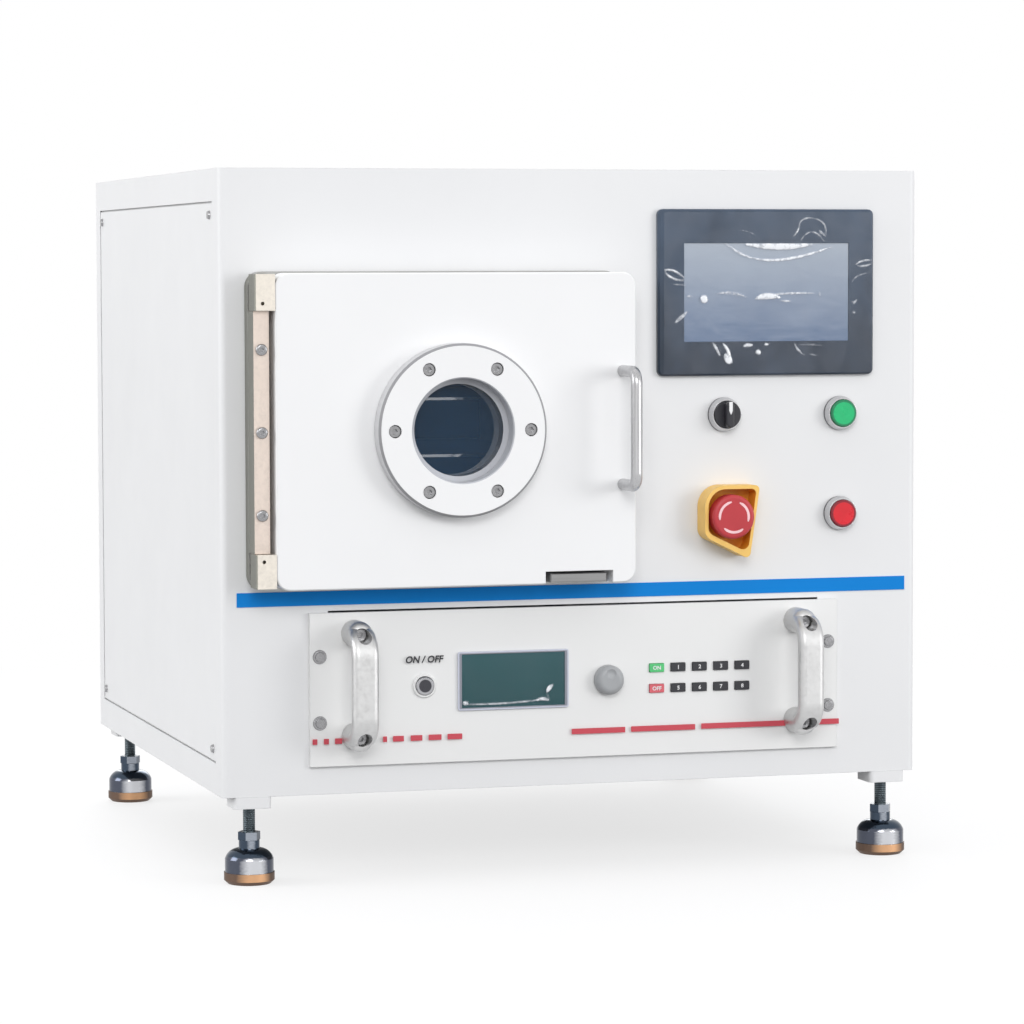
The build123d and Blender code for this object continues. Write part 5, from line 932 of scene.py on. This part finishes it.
def crumpled_film(name, node, inset, creases, material):
    """A clear film just in front of a node, lifted where it is creased."""
    low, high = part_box(node)
    left, below, right, above = inset
    width = (high.x - right * MM - (low.x + left * MM)) / MM
    height = (high.z - above * MM - (low.z + below * MM)) / MM
    columns = round(width / FILM_STEP)
    rows = round(height / FILM_STEP)
    across = [width * column / columns for column in range(columns + 1)]
    up = [height * row / rows for row in range(rows + 1)]
    marks = crease_marks(across, up, creases, left, below)
    build = bmesh.new()
    grid = []
    for z, line in zip(up, marks):
        points = []
        for x, mark in zip(across, line):
            wave = noise.noise(Vector((x * FILM_RIPPLE_X, z * FILM_RIPPLE_Z, FILM_RIPPLE_SEED)))
            lift = FILM_LIFT + FILM_FOLD * mark + FILM_RIPPLE * wave
            spot = (low.x + (left + x) * MM, low.y - lift * MM, low.z + (below + z) * MM)
            points.append(build.verts.new(spot))
        grid.append(points)
    for lower, upper in zip(grid, grid[1:]):
        for column in range(columns):
            corners = (lower[column], lower[column + 1], upper[column + 1], upper[column])
            build.faces.new(corners).smooth = True
    mesh = finished(build, name)
    layer = mesh.attributes.new("crease", "FLOAT", "POINT")
    for index, mark in enumerate(mark for line in marks for mark in line):
        layer.data[index].value = mark
    piece(name, mesh, "cabinet", material)


dress(frame["record"])
for each_foot in FEET:
    foot_finish(each_foot)
display_finish()
ring_finish()
guard_finish()
switch_finish()
hinge_finish()
chamber_finish()
handle_finish()
dash_line()
key_signs()
power_sign()
estop_arcs()
selector_pointer()
crumpled_film("screen_film", "hmi_bezel", SCREEN_INSET, SCREEN_CREASE_GLINTS, SCREEN_FILM)
crumpled_film("display_film", "lcd_window", DISPLAY_INSET, DISPLAY_CREASE_GLINTS, DISPLAY_FILM)
shelf_lip()


# Studio: a floor that the camera and mirrors see pale, and that throws little light up at the object
FLOOR_SIZE = 9.0
FLOOR_PALE = ((0.86, 0.86, 0.86), (0.9, 0.9, 0.9))
FLOOR_CLOUDS = 3.0
FLOOR_BOUNCE = (0.22, 0.22, 0.22)
FLOOR_FADE_START = 0.5
FLOOR_FADE_END = 1.6
FLOOR_WHITE_NEAR = 0.72
WORLD_LIGHT = (0.96, 0.97, 1.0)
WORLD_STRENGTH = 0.9

# Lamps: name, place, what it looks at, width and height, and power in watts
LAMPS = (
    ("key", (-1.2, -5.0, 2.6), (0.0, -0.2, 0.3), (2.4, 1.8), 85.0),
    ("fill", (3.0, -3.0, 0.9), (0.0, -0.2, 0.25), (1.6, 1.6), 44.0),
    ("top", (0.0, 0.4, 3.1), (0.0, 0.0, 0.4), (2.2, 2.0), 3.0),
    ("left", (-3.3, 0.2, 1.5), (0.0, 0.0, 0.3), (1.8, 1.6), 45.0),
    ("rear", (0.8, 3.2, 1.5), (0.0, 0.2, 0.3), (2.2, 1.8), 32.0),
)

# Camera: where it stands, how it is turned in degrees, and its lens, solved from the photograph
CAMERA_PLACE = (-1.00287, -3.47395, 0.52444)
CAMERA_YAW = 16.381
CAMERA_PITCH = 3.564
CAMERA_ROLL = -0.154
CAMERA_LENS = 135.67
CAMERA_SENSOR = 36.0
CAMERA_SIGHT = 60.0


def rays_of(tree, *kinds):
    """An output that is 1 for rays of these kinds and 0 for others."""
    path = tree.nodes.new("ShaderNodeLightPath")
    seen = path.outputs[kinds[0]]
    for kind in kinds[1:]:
        either = tree.nodes.new("ShaderNodeMath")
        either.operation = "MAXIMUM"
        tree.links.new(seen, either.inputs[0])
        tree.links.new(path.outputs[kind], either.inputs[1])
        seen = either.outputs["Value"]
    return seen


def blended(tree, share, first, second):
    """One shader that goes over into another."""
    made = tree.nodes.new("ShaderNodeMixShader")
    for source, socket in zip((share, first, second), made.inputs):
        tree.links.new(source, socket)
    return made.outputs["Shader"]


def floor():
    build = bmesh.new()
    bmesh.ops.create_grid(build, x_segments=4, y_segments=4, size=FLOOR_SIZE)
    made = bpy.data.objects.new("studio_floor", finished(build, "studio_floor"))
    bpy.context.scene.collection.objects.link(made)
    graph = Graph("studio_floor")
    graph.colour(graph.mix(graph.noise(FLOOR_CLOUDS), *FLOOR_PALE))
    graph.set(Roughness=0.7)
    away = graph.node("ShaderNodeVectorMath", operation="LENGTH")
    graph.link(graph.place, away.inputs[0])
    white = graph.span(away.outputs["Value"], FLOOR_WHITE_NEAR, 1.0, FLOOR_FADE_START, FLOOR_FADE_END)
    seen = rays_of(graph.tree, "Is Camera Ray", "Is Glossy Ray")
    glow = graph.node("ShaderNodeEmission")
    bounce = graph.node("ShaderNodeBsdfDiffuse")
    bounce.inputs["Color"].default_value = rgba(FLOOR_BOUNCE)
    paint = blended(graph.tree, seen, bounce.outputs["BSDF"], graph.shader.outputs["BSDF"])
    surface = blended(graph.tree, graph.maths("MULTIPLY", white, seen), paint, glow.outputs["Emission"])
    graph.link(surface, graph.tree.nodes["Material Output"].inputs["Surface"])
    made.data.materials.append(graph.material)


def world():
    """Plain light for the object, and white for the camera, mirrors and glass."""
    made = bpy.data.worlds.new("studio")
    bpy.context.scene.world = made
    made.use_nodes = True
    tree = made.node_tree
    light = tree.nodes["Background"]
    light.inputs["Color"].default_value = rgba(WORLD_LIGHT)
    light.inputs["Strength"].default_value = WORLD_STRENGTH
    white = tree.nodes.new("ShaderNodeBackground")
    white.inputs["Color"].default_value = (1.0, 1.0, 1.0, 1.0)
    white.inputs["Strength"].default_value = 1.0
    seen = rays_of(tree, "Is Camera Ray", "Is Glossy Ray", "Is Transmission Ray")
    surface = blended(tree, seen, light.outputs["Background"], white.outputs["Background"])
    tree.links.new(surface, tree.nodes["World Output"].inputs["Surface"])


def softbox(name, place, target, size, power):
    data = bpy.data.lights.new(name, "AREA")
    data.shape = "RECTANGLE"
    data.size, data.size_y = size
    data.energy = power
    lamp = bpy.data.objects.new(name, data)
    bpy.context.scene.collection.objects.link(lamp)
    lamp.location = place
    lamp.rotation_mode = "QUATERNION"
    lamp.rotation_quaternion = (Vector(target) - Vector(place)).to_track_quat("-Z", "Y")


def camera():
    data = bpy.data.cameras.new("camera")
    data.lens = CAMERA_LENS
    data.sensor_width = CAMERA_SENSOR
    data.clip_end = CAMERA_SIGHT
    made = bpy.data.objects.new("camera", data)
    bpy.context.scene.collection.objects.link(made)
    yaw, pitch, roll = (math.radians(angle) for angle in (CAMERA_YAW, CAMERA_PITCH, CAMERA_ROLL))
    level = math.cos(pitch)
    ahead = Vector((math.sin(yaw) * level, math.cos(yaw) * level, -math.sin(pitch)))
    right = Vector((math.cos(yaw), -math.sin(yaw), 0.0))
    up = right.cross(ahead)
    turned_right = math.cos(roll) * right + math.sin(roll) * up
    turned_up = math.cos(roll) * up - math.sin(roll) * right
    turn = Matrix((turned_right, turned_up, -ahead)).transposed()
    made.matrix_world = Matrix.Translation(CAMERA_PLACE) @ turn.to_4x4()
    bpy.context.scene.camera = made


floor()
world()
for lamp_values in LAMPS:
    softbox(*lamp_values)
camera()
bpy.context.scene.view_settings.view_transform = "Standard"
